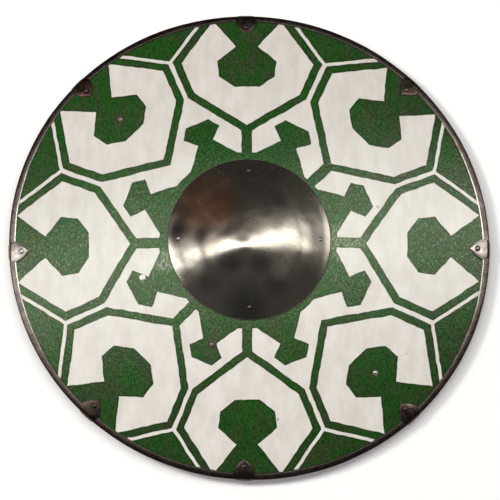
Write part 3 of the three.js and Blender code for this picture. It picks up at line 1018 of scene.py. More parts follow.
class Steel(Enum):
    """The steels of the shield."""

    RIM = SteelFinish(
        "rim_steel", bright=(0.122, 0.105, 0.098), dull=(0.072, 0.060, 0.054), stain=(0.06, 0.033, 0.025),
        stain_share=0.6, roughness=0.28, roughness_spread=0.14, clouds=60.0, dents=0.35,
        # The patch on the west side is a painted highlight: the rim is a little lighter where it catches the
        # light.
        patches=(Patch(-305.0, 0.0, 170.0, (0.125, 0.109, 0.102), 0.9),))
    CUT_EDGE = SteelFinish(
        "cut_edge_steel", bright=(0.20, 0.17, 0.145), dull=(0.12, 0.10, 0.085), stain=(0.10, 0.06, 0.045),
        stain_share=0.3, roughness=0.29, roughness_spread=0.1, clouds=120.0, dents=0.2,
        # The two cream patches east and west are painted highlights, where the cut edge catches the light.
        patches=tuple(Patch(side * 298.0, 0.0, 190.0, (0.64, 0.61, 0.55), 1.0) for side in (-1.0, 1.0)))
    CLIP = SteelFinish(
        "clip_steel", bright=(0.42, 0.40, 0.375), dull=(0.20, 0.18, 0.165), stain=(0.14, 0.09, 0.072),
        stain_share=0.5, roughness=0.24, roughness_spread=0.14, clouds=90.0, dents=0.3)
    # Painted shade: a darker copy of the clip steel, for the six clips that the light does not reach.
    CLIP_SHADED = SteelFinish(
        "clip_steel_painted_shade", bright=(0.11, 0.088, 0.08), dull=(0.045, 0.034, 0.03), stain=(0.065, 0.03, 0.022),
        stain_share=0.7, roughness=0.27, roughness_spread=0.16, clouds=120.0, dents=0.35)
    BOSS = SteelFinish(
        "boss_steel", bright=(0.76, 0.71, 0.62), dull=(0.40, 0.37, 0.315), stain=(0.41, 0.352, 0.275),
        stain_share=0.5, roughness=0.215, roughness_spread=0.09, clouds=26.0, dents=0.07,
        patches=(
            # Of these patches the first is a brown heat tint and the dark spot at (-91, 6) is scale. The
            # small tan spot at (-47, 61) is a painted glint and the pale spot at (38, -44) a painted
            # reflection. The grey patches on the flanks, at (90, 2), (84, 8), (-84, -14), (73, 7) and (-64,
            # 0), are painted shade that dims the reflections there; the rest darken the lower side in spots.
            Patch(-52.0, 46.0, 60.0, (1.0, 0.53, 0.31), 0.95),
            Patch(-47.0, 61.0, 9.0, (0.95, 0.66, 0.48), 0.8),
            Patch(-91.0, 6.0, 22.0, (0.07, 0.058, 0.05), 0.9),
            Patch(90.0, 2.0, 17.0, (0.20, 0.18, 0.16), 0.8),
            Patch(84.0, 8.0, 26.0, (0.24, 0.22, 0.195), 0.85),
            Patch(-84.0, -14.0, 24.0, (0.28, 0.26, 0.23), 0.8),
            Patch(0.0, -92.0, 46.0, (0.20, 0.19, 0.16), 0.85),
            Patch(73.0, 7.0, 20.0, (0.22, 0.205, 0.18), 0.8),
            Patch(-64.0, 0.0, 18.0, (0.15, 0.14, 0.12), 0.8),
            Patch(-24.0, -34.0, 22.0, (0.22, 0.205, 0.175), 0.75),
            Patch(14.0, -37.0, 18.0, (0.24, 0.225, 0.19), 0.65),
            Patch(36.0, -64.0, 24.0, (0.24, 0.23, 0.20), 0.65),
            Patch(-50.0, -56.0, 24.0, (0.34, 0.315, 0.27), 0.7),
            Patch(38.0, -44.0, 18.0, (0.95, 0.89, 0.78), 0.8)))
    RIVET = SteelFinish(
        "rivet_steel", bright=(0.40, 0.365, 0.34), dull=(0.25, 0.215, 0.195), stain=(0.16, 0.11, 0.09),
        stain_share=0.4, roughness=0.34, roughness_spread=0.14, clouds=150.0, dents=0.3)
    # Painted highlight: a much lighter copy of the rivet steel, for the rivets that catch the light.
    RIVET_LIT = SteelFinish(
        "rivet_steel_painted_highlight", bright=(0.82, 0.80, 0.75), dull=(0.70, 0.67, 0.62), stain=(0.56, 0.52, 0.46),
        stain_share=0.25, roughness=0.42, roughness_spread=0.1, clouds=150.0, dents=0.25)
    RIVET_DULL = SteelFinish(
        "dull_rivet_steel", bright=(0.42, 0.375, 0.335), dull=(0.30, 0.255, 0.22), stain=(0.23, 0.155, 0.12),
        stain_share=0.6, roughness=0.46, roughness_spread=0.12, clouds=150.0, dents=0.4)
    # Painted shade: a darker copy of the rivet steel, for the rivets that the light does not reach.
    RIVET_SHADED = SteelFinish(
        "rivet_steel_painted_shade", bright=(0.13, 0.112, 0.10), dull=(0.075, 0.06, 0.053), stain=(0.05, 0.035, 0.03),
        stain_share=0.6, roughness=0.36, roughness_spread=0.14, clouds=150.0, dents=0.4)


@dataclass(frozen=True)
class FloorFinish(Finish):
    """A plain pale studio floor, clear when it is seen from below."""

    name: str = "pale_floor"
    pale: Colour = (0.93, 0.93, 0.925)
    shade: Colour = (0.915, 0.915, 0.91)
    glow_tint: Colour = (1.0, 0.998, 0.995)
    glow: float = 0.14

    def lay(self, wiring: Wiring, shader: bpy.types.Node) -> None:
        """Lays the soft tones and the glow.

        Args:
            wiring: The material's tree.
            shader: Its shader.
        """
        soft = wiring.use(MOTTLE, Place=wiring.place(), Clouds=3.0, Grit=60.0)
        wiring.fill(
            shader,
            Base_Color=wiring.mix(soft["Tone"], self.pale, self.shade),
            Roughness=0.9,
            Specular_IOR_Level=0.1,
            Emission_Color=self.glow_tint,
            Emission_Strength=self.glow)

    def surface(self, wiring: Wiring, shader: bpy.types.Node) -> Socket:
        """The shader from above and clear from below.

        Args:
            wiring: The material's tree.
            shader: Its shader.

        Returns:
            The surface that shows.
        """
        below = wiring.node("ShaderNodeNewGeometry").outputs["Backfacing"]
        clear = wiring.node("ShaderNodeBsdfTransparent").outputs[0]
        return wiring.node("ShaderNodeMixShader", below, shader.outputs[0], clear).outputs[0]


def add_piece(name: str, rows: Rows, finishes: Sequence[Finish], slot: Slot, node: str, ring: bool = True,
              sharp: float = 40.0, dress: Optional[Callable[[int, int], int]] = None) -> None:
    """Skins rows of points, each of which is a closed loop, as a piece of the shield.

    Args:
        name: The piece's name.
        rows: The loops in place, all with the same number of points.
        finishes: The piece's finishes.
        slot: The record's slot, which is not used.
        node: The CAD node that it stands for.
        ring: Whether the last loop joins the first. If not, a face closes both ends.
        sharp: The angle in degrees over which an edge stays sharp.
        dress: Gives the number of a face's finish from its row and column.
    """
    around = len(rows[0])
    form = bmesh.new()
    loops = [[form.verts.new(point) for point in row] for row in rows]
    for row in range(len(rows) if ring else len(rows) - 1):
        here, there = loops[row], loops[(row + 1) % len(rows)]
        for column in range(around):
            after = (column + 1) % around
            face = form.faces.new((here[column], there[column], there[after], here[after]))
            face.material_index = dress(row, column) if dress else 0
    if not ring:
        form.faces.new(loops[0])
        form.faces.new(list(reversed(loops[-1])))
    bmesh.ops.remove_doubles(form, verts=form.verts, dist=1e-7)
    loose = [edge for edge in form.edges if not edge.link_faces]
    bmesh.ops.delete(form, geom=loose, context="EDGES")
    bmesh.ops.recalc_face_normals(form, faces=form.faces)
    for face in form.faces:
        face.smooth = True
    mesh = bpy.data.meshes.new(name)
    form.to_mesh(mesh)
    form.free()
    mesh.set_sharp_from_angle(angle=math.radians(sharp))
    mesh.transform(DOME.out_of_round())
    for finish in finishes:
        mesh.materials.append(FINISHES.get(finish))
    piece = bpy.data.objects.new(name, mesh)
    bpy.context.scene.collection.objects.link(piece)
    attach(piece, BODY)
    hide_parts(node)
    LOG.info("%s: %d faces", name, len(mesh.polygons))


def loft(section: Callable[[float], list[Vector]], end: float, steps: int, place: Matrix) -> Rows:
    """The cross-sections of a bar in place, from one end to the other."""
    stations = (lerp(-end, end, step / steps) for step in range(steps + 1))
    return [[place @ point for point in section(along)] for along in stations]


@dataclass
class Board:
    """The dished board with its painted face and bare back."""

    hand_hole_radius: float = 62.0
    edge_round: float = 1.2
    sides: int = 192
    face_rings: int = 28
    back_rings: int = 20
    paint: PaintFinish = PaintFinish()
    wood: WoodFinish = WoodFinish(
        "board_wood", (0.47, 0.325, 0.185), (0.33, 0.205, 0.10), math.radians(45), 8.0)

    def section(self) -> tuple[list[Pair], int]:
        """The outline of a cut from the hand hole to the edge.

        Returns:
            The points as (depth, arc), and how many of them are on the face.
        """
        start = DOME.arc_at(self.hand_hole_radius)
        end = DOME.edge_arc
        cut = self.edge_round
        bevel = 0.3 * cut
        back = -DOME.board_thickness
        near, far = start + cut, end - cut
        face = [(0.0, lerp(near, far, step / self.face_rings)) for step in range(self.face_rings + 1)]
        edge = [(-bevel, end - bevel), (-cut, end), (back + cut, end), (back + bevel, end - bevel)]
        under = [(back, lerp(far, near, step / self.back_rings)) for step in range(self.back_rings + 1)]
        hole = [(back + cut, start), (-cut, start)]
        return face + edge + under + hole, len(face)

    def build(self) -> None:
        """Builds and dresses the board."""
        points, on_face = self.section()
        rows = [[DOME.point(depth, arc, turn) for depth, arc in points] for turn in turns(self.sides)]
        add_piece("board_painted", rows, (self.paint, self.wood), Slot.BOARD, "board",
                  dress=lambda row, column: 0 if column < on_face else 1)


@dataclass
class Rim:
    """The sheet steel channel, bent round the edge of the board by hand."""

    leg: float = 8.7
    leg_waver: float = 0.6
    inner_foot: Pair = (0.05, 0.1)
    foot: float = 0.08
    lip: float = 0.6
    bevel: Pair = (1.4, 1.05)
    crest_inset: float = 1.4
    crest_lift: float = -0.3
    outer_waver: float = 0.25
    bend_curve: Pair = (0.24, 0.3)
    bend_steps: int = 12
    sides: int = 320

    def section(self, azimuth: float) -> tuple[list[Pair], list[bool]]:
        """The outline of the channel at one place.

        Args:
            azimuth: The place, in radians.

        Returns:
            The points as (depth, arc), and whether the side after each is on the cut edge.
        """
        spot = Vector((math.cos(azimuth), math.sin(azimuth), 0.0)) * 0.3
        wander = waver(spot, 55.0, 3.0) + 0.5 * waver(spot, 16.0, 8.0)
        leg_arc = DOME.rim_arc - self.leg + self.leg_waver * wander
        outer = DOME.rim_arc + self.outer_waver * waver(spot, 48.0, 6.0)
        crest_arc = leg_arc + self.crest_inset
        crest = DOME.rim_top + self.crest_lift
        middle = -DOME.board_thickness / 2
        half = [(self.inner_foot[0], DOME.edge_arc + self.inner_foot[1]), (self.foot, leg_arc),
                (self.lip, leg_arc), (self.bevel[0], leg_arc + self.bevel[1])]
        cut_edge = [False, False, True, False] + [False] * self.bend_steps
        for step in range(self.bend_steps + 1):
            angle = math.pi / 2 * step / self.bend_steps
            half.append((middle + (crest - middle) * math.cos(angle) ** self.bend_curve[0],
                         lerp(crest_arc, outer, math.sin(angle) ** self.bend_curve[1])))
        lower = [(DOME.mirrored(depth), arc) for depth, arc in reversed(half[:-1])]
        return half + lower, cut_edge + list(reversed(cut_edge)) + [False]

    def build(self) -> None:
        """Builds and dresses the rim."""
        cut_edge = self.section(0.0)[1]
        rows = [[DOME.point(depth, arc, turn) for depth, arc in self.section(turn)[0]]
                for turn in turns(self.sides)]
        add_piece("rim_channel", rows, (Steel.RIM.value, Steel.CUT_EDGE.value), Slot.RIM, "rim",
                  sharp=26.0, dress=lambda row, column: int(cut_edge[column]))


@dataclass
class RimClip:
    """A leaf of sheet steel folded over the rim."""

    place: Eighth
    half_width: float = 12.6
    outer_half_width: float = 9.6
    length: float = 28.0
    shoulder: float = 9.0
    fold: float = 6.0
    leaf_curve: float = 1.85
    rise_curve: float = 1.4
    fold_curve: float = 0.75
    tip_half_width: float = 0.8
    tip_depth: float = 0.4
    over_rim: float = 0.3
    past_rim: float = 0.2
    bulge: float = 0.28
    back_bulge: float = 0.1
    hammering: float = 0.12
    leaf_steps: int = 22
    fold_steps: int = 12
    across_steps: int = 14
    sheet: float = DOME.clip_sheet
    edge_sheet: float = 0.95

    def half_width_at(self, inset: float) -> float:
        """Half the width of the clip.

        Args:
            inset: Distance from the outside of the clip.

        Returns:
            Half the width in millimetres.
        """
        if inset < self.shoulder:
            share = math.sin(math.pi / 2 * inset / self.shoulder)
            return lerp(self.outer_half_width, self.half_width, share)
        share = min(1.0, (inset - self.shoulder) / (self.length - self.shoulder))
        return self.half_width * (1 - share**self.leaf_curve) + self.tip_half_width * math.sqrt(1 - share)

    def path(self) -> list[Triple]:
        """The inside of the sheet from the tip on the face to the middle of the fold.

        Returns:
            Stations as (depth, arc, half width).
        """
        stations = []
        over = DOME.rim_top + self.over_rim
        for step in range(self.leaf_steps + 1):
            inset = lerp(self.length, self.fold, step / self.leaf_steps)
            rise = 1 - ((inset - self.fold) / (self.length - self.fold)) ** self.rise_curve
            stations.append(
                (lerp(self.tip_depth, over, rise), DOME.clip_arc - inset, self.half_width_at(inset)))
        reach = DOME.rim_arc + self.past_rim
        middle = -DOME.board_thickness / 2
        for step in range(1, self.fold_steps + 1):
            angle = math.pi / 2 * step / self.fold_steps
            depth = middle + (over - middle) * math.cos(angle) ** self.fold_curve
            arc = lerp(DOME.clip_arc - self.fold, reach, math.sin(angle))
            stations.append((depth, arc, self.half_width_at(self.fold * (1 - math.sin(angle)))))
        return stations

    def build(self) -> None:
        """Builds and dresses the clip."""
        half = self.path()
        back = [(DOME.mirrored(depth), arc, width) for depth, arc, width in reversed(half[:-1])]
        stations = half + back
        inner = [Vector((arc, depth)) for depth, arc, _ in stations]
        turn = Matrix.Rotation(self.place.clip_turn, 4, "Z")
        rows = []
        for index, (spot, station) in enumerate(zip(inner, stations)):
            before = inner[max(0, index - 1)]
            after = inner[min(len(inner) - 1, index + 1)]
            run = (after - before).normalized()
            bulge = lerp(self.bulge, self.back_bulge, smooth_step(len(half) - 6, len(half) + 4, index))
            row = self.loop(spot, Vector((-run.y, run.x)), station[2], bulge)
            rows.append([turn @ point for point in row])
        # The east and west clips get the clip steel and the other six its darker copy, which is painted
        # shade. The edges of the east and west clips get the edge steel with its painted highlights, and
        # those of the others the lighter clip steel.
        pale = self.place in (Eighth.E, Eighth.W)
        steel = Steel.CLIP if pale else Steel.CLIP_SHADED
        edge = Steel.CUT_EDGE if pale else Steel.CLIP
        fold = Steel.RIM if self.place is Eighth.E else steel
        add_piece(f"clip_{self.place.tag}", rows, (steel.value, edge.value, fold.value), Slot.RIM,
                  f"rim_clip_{self.place.tag}", ring=False, sharp=50.0, dress=self.dress)

    def loop(self, inside: Vector, out: Vector, width: float, bulge: float) -> list[Vector]:
        """One cross-section of the sheet, domed across.

        Args:
            inside: The middle of the inner side as (arc, depth).
            out: The way out of the sheet as (arc, depth).
            width: Half the width.
            bulge: How far the middle stands out.

        Returns:
            The points round the section.
        """
        seed = 2.3 * self.place.value
        over = []
        under = []
        for step in range(self.across_steps + 1):
            share = lerp(-1.0, 1.0, step / self.across_steps)
            lift = bulge * (1 - share * share) * min(1.0, width / self.half_width)
            thick = lerp(self.sheet, self.edge_sheet, share**4)
            for spot, row in ((inside + out * (lift + thick), over), (inside + out * 0.8 * lift, under)):
                point = DOME.point(spot.y, spot.x, 0.0)
                point.y = share * width * MM
                row.append(point)
            over[-1] += Vector((0.0, 0.0, self.hammering * MM * waver(over[-1], 9.0, seed)))
        return over + list(reversed(under))

    def dress(self, row: int, column: int) -> int:
        """The number of a face's finish: the leaf, its cut edges, or the fold over the rim."""
        broad = 2 if row >= self.leaf_steps else 0
        return 1 if column in (self.across_steps, 2 * self.across_steps + 1) else broad


@dataclass
class Boss:
    """The pointed boss of sheet steel, with its point a little below the middle.

    Its four slopes are given as (share of the way from the point to the edge, slope).
    """

    radius: float = 103.5
    sheet: float = 1.6
    edge_round: float = 0.5
    clearance: float = 0.15
    height: float = 37.0
    point: Pair = (-5.5, -16.4)
    stretch: float = 1.02
    shift: float = 1.3
    right: Slopes = ((0.0, 0.0), (0.06, 0.17), (0.22, 0.27), (0.45, 0.40), (0.60, 0.41), (0.655, 0.48),
                     (0.69, 0.42), (0.74, 0.44), (0.80, 0.51), (0.92, 0.51), (0.96, 0.41), (1.0, 0.41))
    upper: Slopes = ((0.0, 0.0), (0.05, 0.13), (0.33, 0.20), (0.56, 0.34), (0.68, 0.42), (1.0, 0.45))
    left: Slopes = ((0.0, 0.0), (0.06, 0.17), (0.22, 0.28), (0.45, 0.43), (0.56, 0.53), (0.66, 0.47),
                    (0.80, 0.48), (0.85, 0.51), (0.92, 0.48), (0.96, 0.41), (1.0, 0.41))
    lower: Slopes = ((0.0, 0.0), (0.06, 0.20), (0.30, 0.36), (0.70, 0.40), (1.0, 0.42))
    unevenness: float = 0.28
    sides: int = 224
    rings: int = 92

    @staticmethod
    def climb(slopes: Slopes, share: float) -> float:
        """Height over the edge along one row of slopes.

        Args:
            slopes: The slopes from the point to the edge.
            share: The share of the way from the point to the edge.

        Returns:
            The height as a share of the whole height.
        """
        above = 0.0
        whole = 0.0
        for (near, near_slope), (far, far_slope) in zip(slopes, slopes[1:]):
            whole += (far - near) * (near_slope + far_slope) / 2
            if share < far:
                start = max(share, near)
                slope = lerp(near_slope, far_slope, (start - near) / (far - near))
                above += (far - start) * (slope + far_slope) / 2
        return above / whole

    def rise(self, share: float, turn: float) -> float:
        """Height over the edge of the boss.

        Args:
            share: The share of the way from the point to the edge.
            turn: The way from the point, in radians.

        Returns:
            The height in millimetres.
        """
        sideways = self.climb(self.right if math.cos(turn) > 0 else self.left, share)
        upright = self.climb(self.upper if math.sin(turn) > 0 else self.lower, share)
        return self.height * lerp(upright, sideways, math.cos(turn) ** 2)

    def span(self, turn: float) -> float:
        """The distance from the point to the edge, one way."""
        along = self.point[0] * math.cos(turn) + self.point[1] * math.sin(turn)
        return math.sqrt(along**2 - math.hypot(*self.point) ** 2 + self.radius**2) - along

    def edge_height(self, sheet: float) -> float:
        """The height of the edge over the floor, at a distance from the inner side."""
        return DOME.height(self.radius, self.clearance + sheet)

    def depth_at(self, radius: float, azimuth: float) -> float:
        """How far the outer side stands over the board's face.

        Args:
            radius: Distance from the axis.
            azimuth: Turn about the axis.

        Returns:
            The depth in millimetres.
        """
        up = (radius * math.sin(azimuth) - self.shift) / self.stretch
        away = Vector((radius * math.cos(azimuth), up)) - Vector(self.point)
        turn = math.atan2(away.y, away.x)
        rise = self.rise(away.length / self.span(turn), turn)
        return self.edge_height(self.sheet) + rise - DOME.height(radius)

    def skin(self, share: float, turn: float, sheet: float) -> Vector:
        """A point of one side of the boss.

        Args:
            share: The share of the way from the point to the edge.
            turn: The way from the point, in radians.
            sheet: Distance outward from the inner side.

        Returns:
            The point in metres.
        """
        away = share * self.span(turn)
        across = self.point[0] + away * math.cos(turn)
        spot = Vector((across, self.point[1] + away * math.sin(turn), 0.0)) * MM
        dent = waver(spot, 34.0, 5.0) + 0.45 * waver(spot, 15.0, 2.0)
        settle = smooth_step(0.02, 0.2, share) * smooth_step(1.0, 0.9, share)
        height = self.edge_height(sheet) + self.rise(share, turn) + self.unevenness * dent * settle
        return Vector((spot.x, spot.y * self.stretch + self.shift * MM, height * MM))

    def build(self) -> None:
        """Builds and dresses the boss."""
        outer = [(ring / self.rings) ** 0.9 for ring in range(self.rings + 1)]
        outer[-1] = 1.0 - self.edge_round / self.radius
        section = [(share, self.sheet) for share in outer]
        section += [(1.0, self.sheet - self.edge_round), (1.0, 0.0)]
        section += [(share, 0.0) for share in reversed(outer[:-1:2])]
        rows = [[self.skin(share, turn, sheet) for share, sheet in section] for turn in turns(self.sides)]
        add_piece("boss_steel", rows, (Steel.BOSS.value,), Slot.BOSS, "boss", sharp=55.0)


@dataclass
class GripLath:
    """The wooden lath across the back, narrower where it is held."""

    half_length: float = 250.0
    half_width: float = 16.0
    grip_half_width: float = 13.0
    grip_half_length: float = 55.0
    shoulder: float = 85.0
    seat_start: float = 205.0
    end_thickness: float = 8.5
    grip_thickness: float = 17.0
    flat_half_length: float = 150.0
    rounding: float = 3.0
    end_taper: Triple = (4.0, 1.4, 1.2)
    steps: int = 96
    wood: WoodFinish = WoodFinish(
        "lath_wood", (0.40, 0.255, 0.13), (0.25, 0.14, 0.065), BACK_TURN, 26.0, 0.5)

    def section(self, along: float) -> list[Vector]:
        """One cross-section of the lath.

        Args:
            along: Distance from the middle.

        Returns:
            The points round the section in metres, along X before the lath is turned.
        """
        far = abs(along)
        back = -DOME.board_thickness
        seat_top = DOME.height(math.hypot(self.seat_start, self.half_width), back) - DOME.gap
        board = DOME.height(math.hypot(far, self.half_width), back) - DOME.gap
        held = smooth_step(self.grip_half_length, self.shoulder, far)
        half = lerp(self.grip_half_width, self.half_width, held)
        bottom = seat_top - self.grip_thickness
        if far > self.flat_half_length:
            bottom = max(bottom, board - self.end_thickness)
        length, narrower, thinner = self.end_taper
        ending = 1 - smooth_step(self.half_length, self.half_length - length, far)
        outline = rounded_loop(
            half - narrower * ending, bottom + thinner * ending, min(seat_top, board), self.rounding, 5)
        return [Vector((along, across, up)) * MM for across, up in outline]

    def build(self) -> None:
        """Builds and dresses the lath."""
        rows = loft(self.section, self.half_length, self.steps, Matrix.Rotation(BACK_TURN, 4, "Z"))
        add_piece("lath_wooden", rows, (self.wood,), Slot.LATH, "grip_lath", ring=False)


@dataclass
class ForearmStrap:
    """The leather strap: two riveted tabs and a slack loop between them."""

    offset: float = 130.4
    end: float = 80.0
    end_round: float = 6.0
    end_inset: float = 5.0
    tab_start: float = 50.0
    half_width: float = 16.0
    thickness: float = 3.5
    rounding: float = 0.9
    sag: float = 24.0
    sag_curve: float = 1.5
    steps: int = 88
    leather: LeatherFinish = LeatherFinish()

    def droop(self, along: float) -> float:
        """How far the loop hangs off the board."""
        return self.sag * max(0.0, 1 - (along / self.tab_start) ** 2) ** self.sag_curve

    def section(self, along: float) -> list[Vector]:
        """One cross-section of the strap, before it is set in place.

        Args:
            along: Distance from the middle of the strap.

        Returns:
            The points round the section, in metres from the dome's centre.
        """
        sphere = DOME.face_sphere - DOME.board_thickness
        height = math.sqrt(sphere**2 - along**2 - self.half_width**2) - DOME.gap - self.droop(along)
        lean = math.atan(self.droop(along + 0.5) - self.droop(along - 0.5))
        out = Vector((-math.sin(lean), -math.cos(lean)))
        past = max(0.0, (abs(along) - self.end + self.end_round) / self.end_round)
        blunt = self.end_inset * (1 - math.sqrt(max(0.0, 1 - past**2)))
        points = []
        for across, up in rounded_loop(self.half_width - blunt, -self.thickness, 0.0, self.rounding, 3):
            spot = Vector((along, height)) - out * up
            points.append(Vector((spot.x, across, spot.y)) * MM)
        return points

    def build(self) -> None:
        """Builds and dresses the strap."""
        turn = Matrix.Rotation(BACK_TURN, 4, "Z") @ Matrix.Translation((0, 0, DOME.centre_height * MM))
        place = turn @ Matrix.Rotation(-self.offset / DOME.face_sphere, 4, "X")
        rows = loft(self.section, self.end, self.steps, place)
        add_piece("strap_leather", rows, (self.leather,), Slot.STRAP, "forearm_strap", ring=False)


@dataclass
class Rivet:
    """A hammered rivet: a low head on the face and a peened tail behind."""

    node: str
    arc: float
    azimuth: float
    head_depth: float
    tail_depth: float
    finish: Steel = Steel.RIVET
    head_radius: float = 3.9
    head_height: float = 1.9
    head_sink: float = 0.2
    shank_radius: float = 2.2
    tail_radius: float = 3.6
    tail_height: float = 1.2
    unevenness: float = 0.22
    sides: int = 28

    def profile(self) -> list[Pair]:
        """The outline from the middle of the tail to the top of the head.

        Returns:
            Points as (radius, depth).
        """
        foot = self.tail_depth - self.tail_height
        seat = self.head_depth - self.head_sink
        points = [(0.0, foot), (self.tail_radius * 0.8, foot + 0.05), (self.tail_radius, foot + 0.35),
                  (self.tail_radius, self.tail_depth), (self.shank_radius, self.tail_depth),
                  (self.shank_radius, seat)]
        for step in range(9):
            angle = math.pi / 2 * step / 8
            points.append((self.head_radius * math.cos(angle) ** 0.85,
                           seat + self.head_height * math.sin(angle) ** 1.1))
        return points

    def build(self) -> None:
        """Builds and dresses the rivet."""
        seat = DOME.seat(self.arc, self.azimuth)
        seed = self.arc * 0.13 + self.azimuth * 2.9
        rows = []
        for turn in turns(self.sides):
            row = []
            for radius, depth in self.profile():
                point = Vector((radius * math.cos(turn), radius * math.sin(turn), depth)) * MM
                on_head = smooth_step(self.head_depth - 0.3, self.head_depth + 0.6, depth)
                dent = self.unevenness * waver(point, 3.4, seed) * on_head * min(1.0, radius)
                point += Vector((0.4 * math.cos(turn), 0.4 * math.sin(turn), 1.0)) * dent * MM
                row.append(seat @ point)
            rows.append(row)
        add_piece(f"{self.node}_head", rows, (self.finish.value,), Slot.RIVET, self.node, sharp=55.0)


@dataclass
class Rivets:
    """All the rivets of the shield."""

    lath: GripLath
    strap: ForearmStrap
    boss: Boss
    clip_inset: float = 18.0
    clip_sink: float = 0.3
    boss_arc: float = 89.0
    boss_sink: float = 0.3
    lath_arc: float = 232.0
    lath_stray: float = math.radians(-1.7)
    strap_half_span: float = 61.8
    back_head: float = 0.1

    def build(self) -> None:
        """Builds and dresses every rivet."""
        head = DOME.rim_top + DOME.clip_sheet - self.clip_sink
        for place in Eighth:
            # The west clip rivet gets the lighter copy of the rivet steel, a painted highlight; the rivets
            # of the six shaded clips get the darker copy, which is painted shade.
            finish = {Eighth.E: Steel.RIVET, Eighth.W: Steel.RIVET_LIT}.get(place, Steel.RIVET_SHADED)
            Rivet(f"clip_rivet_{place.tag}", DOME.clip_arc - self.clip_inset, place.clip_turn, head,
                  DOME.mirrored(head), finish).build()
        back = DOME.mirrored(DOME.gap)
        for place in (Eighth.E, Eighth.N, Eighth.W, Eighth.S):
            head = self.boss.depth_at(self.boss_arc, place.turn) - self.boss_sink
            # The north and south boss rivets get the darker copy of the rivet steel, which is painted shade.
            finish = Steel.RIVET if place in (Eighth.E, Eighth.W) else Steel.RIVET_SHADED
            Rivet(f"boss_rivet_{place.tag}", self.boss_arc, place.turn, head, back, finish,
                  head_radius=3.3, head_height=1.2).build()
        head = self.back_head
        tail = back - 2 * DOME.gap - self.lath.end_thickness
        # The south-east lath rivet and the west strap rivet get the lighter copy of the rivet steel, which
        # is a painted highlight.
        Rivet("lath_rivet_nw", self.lath_arc, BACK_TURN, head, tail, Steel.RIVET_DULL).build()
        Rivet("lath_rivet_se", self.lath_arc, BACK_TURN + math.pi + self.lath_stray, head, tail,
              Steel.RIVET_LIT).build()
        reach = math.hypot(self.strap_half_span, self.strap.offset)
        turn = math.atan2(self.strap.offset, self.strap_half_span)
        tail = back - 2 * DOME.gap - self.strap.thickness
        Rivet("strap_rivet_w", reach, BACK_TURN + turn, head, tail, Steel.RIVET_LIT,
              head_radius=4.2, head_height=0.5, unevenness=0.05).build()
        Rivet("strap_rivet_s", reach, BACK_TURN + math.pi - turn, head, tail, Steel.RIVET_DULL).build()


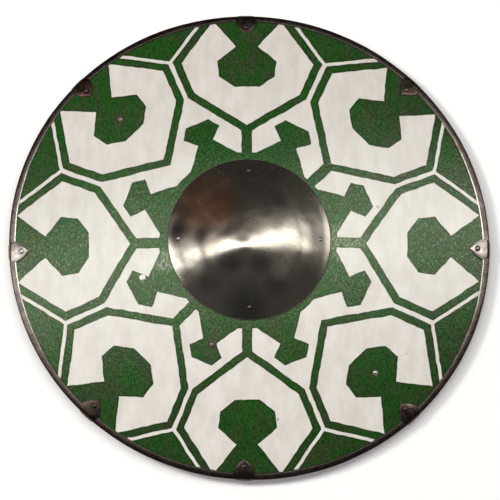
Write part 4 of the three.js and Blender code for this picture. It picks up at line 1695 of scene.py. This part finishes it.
@dataclass
class Studio:
    """The floor, the soft overhead light and the camera."""

    floor_size: float = 24.0
    floor_drop: float = 0.0005
    tilt: float = math.radians(13.5)
    distance: float = 14.0
    pixels_per_mm: float = 0.78458
    picture_width: float = 500.0
    aim: Pair = (0.0010, -0.0008)
    strip_height: float = 6.0
    strip_place: Pair = (-0.30, 1.41)
    strip_turn: float = math.radians(9)
    strip_length: float = 15.3
    core_width: float = 1.6
    core_power: float = 223.0
    wing_width: float = 2.8
    wing_power: float = 148.0
    wing_lift: float = 0.05
    side_place: Triple = (-4.9, 1.4, 5.4)
    side_size: float = 1.6
    side_power: float = 230.0
    warmth: Colour = (1.0, 0.98, 0.945)
    room_tint: Colour = (1.0, 0.985, 0.965)
    room_glow: float = 0.19
    room_in_gloss: Pair = (0.068, 0.032)
    room_span: Pair = (-0.75, 0.35)
    under_height: float = -1.2
    under_size: float = 0.9
    under_power: float = 9.0

    def build(self) -> None:
        """Sets the studio up."""
        self._floor()
        self._lights()
        self._room()
        self._camera()

    def _floor(self) -> None:
        """Lays the pale floor."""
        half = self.floor_size / 2
        mesh = bpy.data.meshes.new("floor")
        corners = [(-half, -half, 0), (half, -half, 0), (half, half, 0), (-half, half, 0)]
        mesh.from_pydata(corners, [], [(0, 1, 2, 3)])
        mesh.materials.append(FINISHES.get(FloorFinish()))
        floor = bpy.data.objects.new("floor", mesh)
        floor.location.z = -self.floor_drop
        floor.visible_shadow = False
        bpy.context.scene.collection.objects.link(floor)

    def _lamp(self, name: str, size: Pair, power: float, place: Matrix) -> bpy.types.Object:
        """Adds a soft rectangular light.

        Args:
            name: Its name.
            size: Its sides in metres.
            power: Its power in watts.
            place: Where it hangs.

        Returns:
            The light.
        """
        lamp = bpy.data.lights.new(name, "AREA")
        lamp.shape = "RECTANGLE"
        lamp.size, lamp.size_y = size
        lamp.energy = power
        lamp.color = self.warmth
        made = bpy.data.objects.new(name, lamp)
        made.matrix_world = place
        made.visible_camera = False
        bpy.context.scene.collection.objects.link(made)
        return made

    def _lights(self) -> None:
        """Hangs the long light, brighter along its middle, and lights the side and the hidden back."""
        turn = Matrix.Rotation(self.strip_turn, 4, "Z")
        core = Matrix.Translation((*self.strip_place, self.strip_height)) @ turn
        wings = Matrix.Translation((*self.strip_place, self.strip_height + self.wing_lift)) @ turn
        self._lamp("overhead_core", (self.strip_length, self.core_width), self.core_power, core)
        self._lamp("overhead_wings", (self.strip_length, self.wing_width), self.wing_power, wings)
        aim = Vector(self.side_place).to_track_quat("Z", "Y").to_matrix().to_4x4()
        place = Matrix.Translation(self.side_place) @ aim
        side = self._lamp("side_light", (self.side_size, self.side_size), self.side_power, place)
        side.visible_glossy = False
        below = Matrix.Translation((0.0, 0.0, self.under_height)) @ Matrix.Rotation(math.pi, 4, "X")
        self._lamp("under_light", (self.under_size, self.under_size), self.under_power, below)

    def _room(self) -> None:
        """Gives the room a soft glow that polished steel hardly mirrors."""
        world = bpy.data.worlds.new("room")
        world.use_nodes = True
        world.node_tree.nodes.clear()
        wiring = Wiring(world.node_tree)
        glossy = wiring.node("ShaderNodeLightPath").outputs["Is Glossy Ray"]
        up = wiring.split(wiring.node("ShaderNodeTexCoord").outputs["Generated"])[1]
        dim = wiring.minus(wiring.spread(up, self.room_span, self.room_in_gloss), self.room_glow)
        glow = wiring.plus(wiring.times(glossy, dim), self.room_glow)
        sky = wiring.node("ShaderNodeBackground", self.room_tint, glow)
        wiring.node("ShaderNodeOutputWorld", sky.outputs[0])
        bpy.context.scene.world = world

    def _camera(self) -> None:
        """Stands the camera over the foot of the shield."""
        lens = bpy.data.cameras.new("camera")
        lens.sensor_fit = "HORIZONTAL"
        lens.sensor_width = 36.0
        lens.lens = lens.sensor_width * self.pixels_per_mm / MM * self.distance / self.picture_width
        camera = bpy.data.objects.new("camera", lens)
        aim = Matrix.Translation((*self.aim, 0.0)) @ Matrix.Rotation(self.tilt, 4, "X")
        camera.matrix_world = aim @ Matrix.Translation((0, 0, self.distance))
        bpy.context.scene.collection.objects.link(camera)
        bpy.context.scene.camera = camera
        bpy.context.scene.view_settings.view_transform = "Standard"
        bpy.context.scene.view_settings.look = "None"


def main() -> None:
    """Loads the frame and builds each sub-assembly."""
    logging.basicConfig(level=logging.INFO, format="%(name)s: %(message)s")
    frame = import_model()
    LOG.info("frame with %d nodes", len(frame["nodes"]))
    boss, lath, strap = Boss(), GripLath(), ForearmStrap()
    Board().build()
    Rim().build()
    for place in Eighth:
        RimClip(place).build()
    boss.build()
    Rivets(lath, strap, boss).build()
    lath.build()
    strap.build()
    Studio().build()


if __name__ == "__main__":
    main()
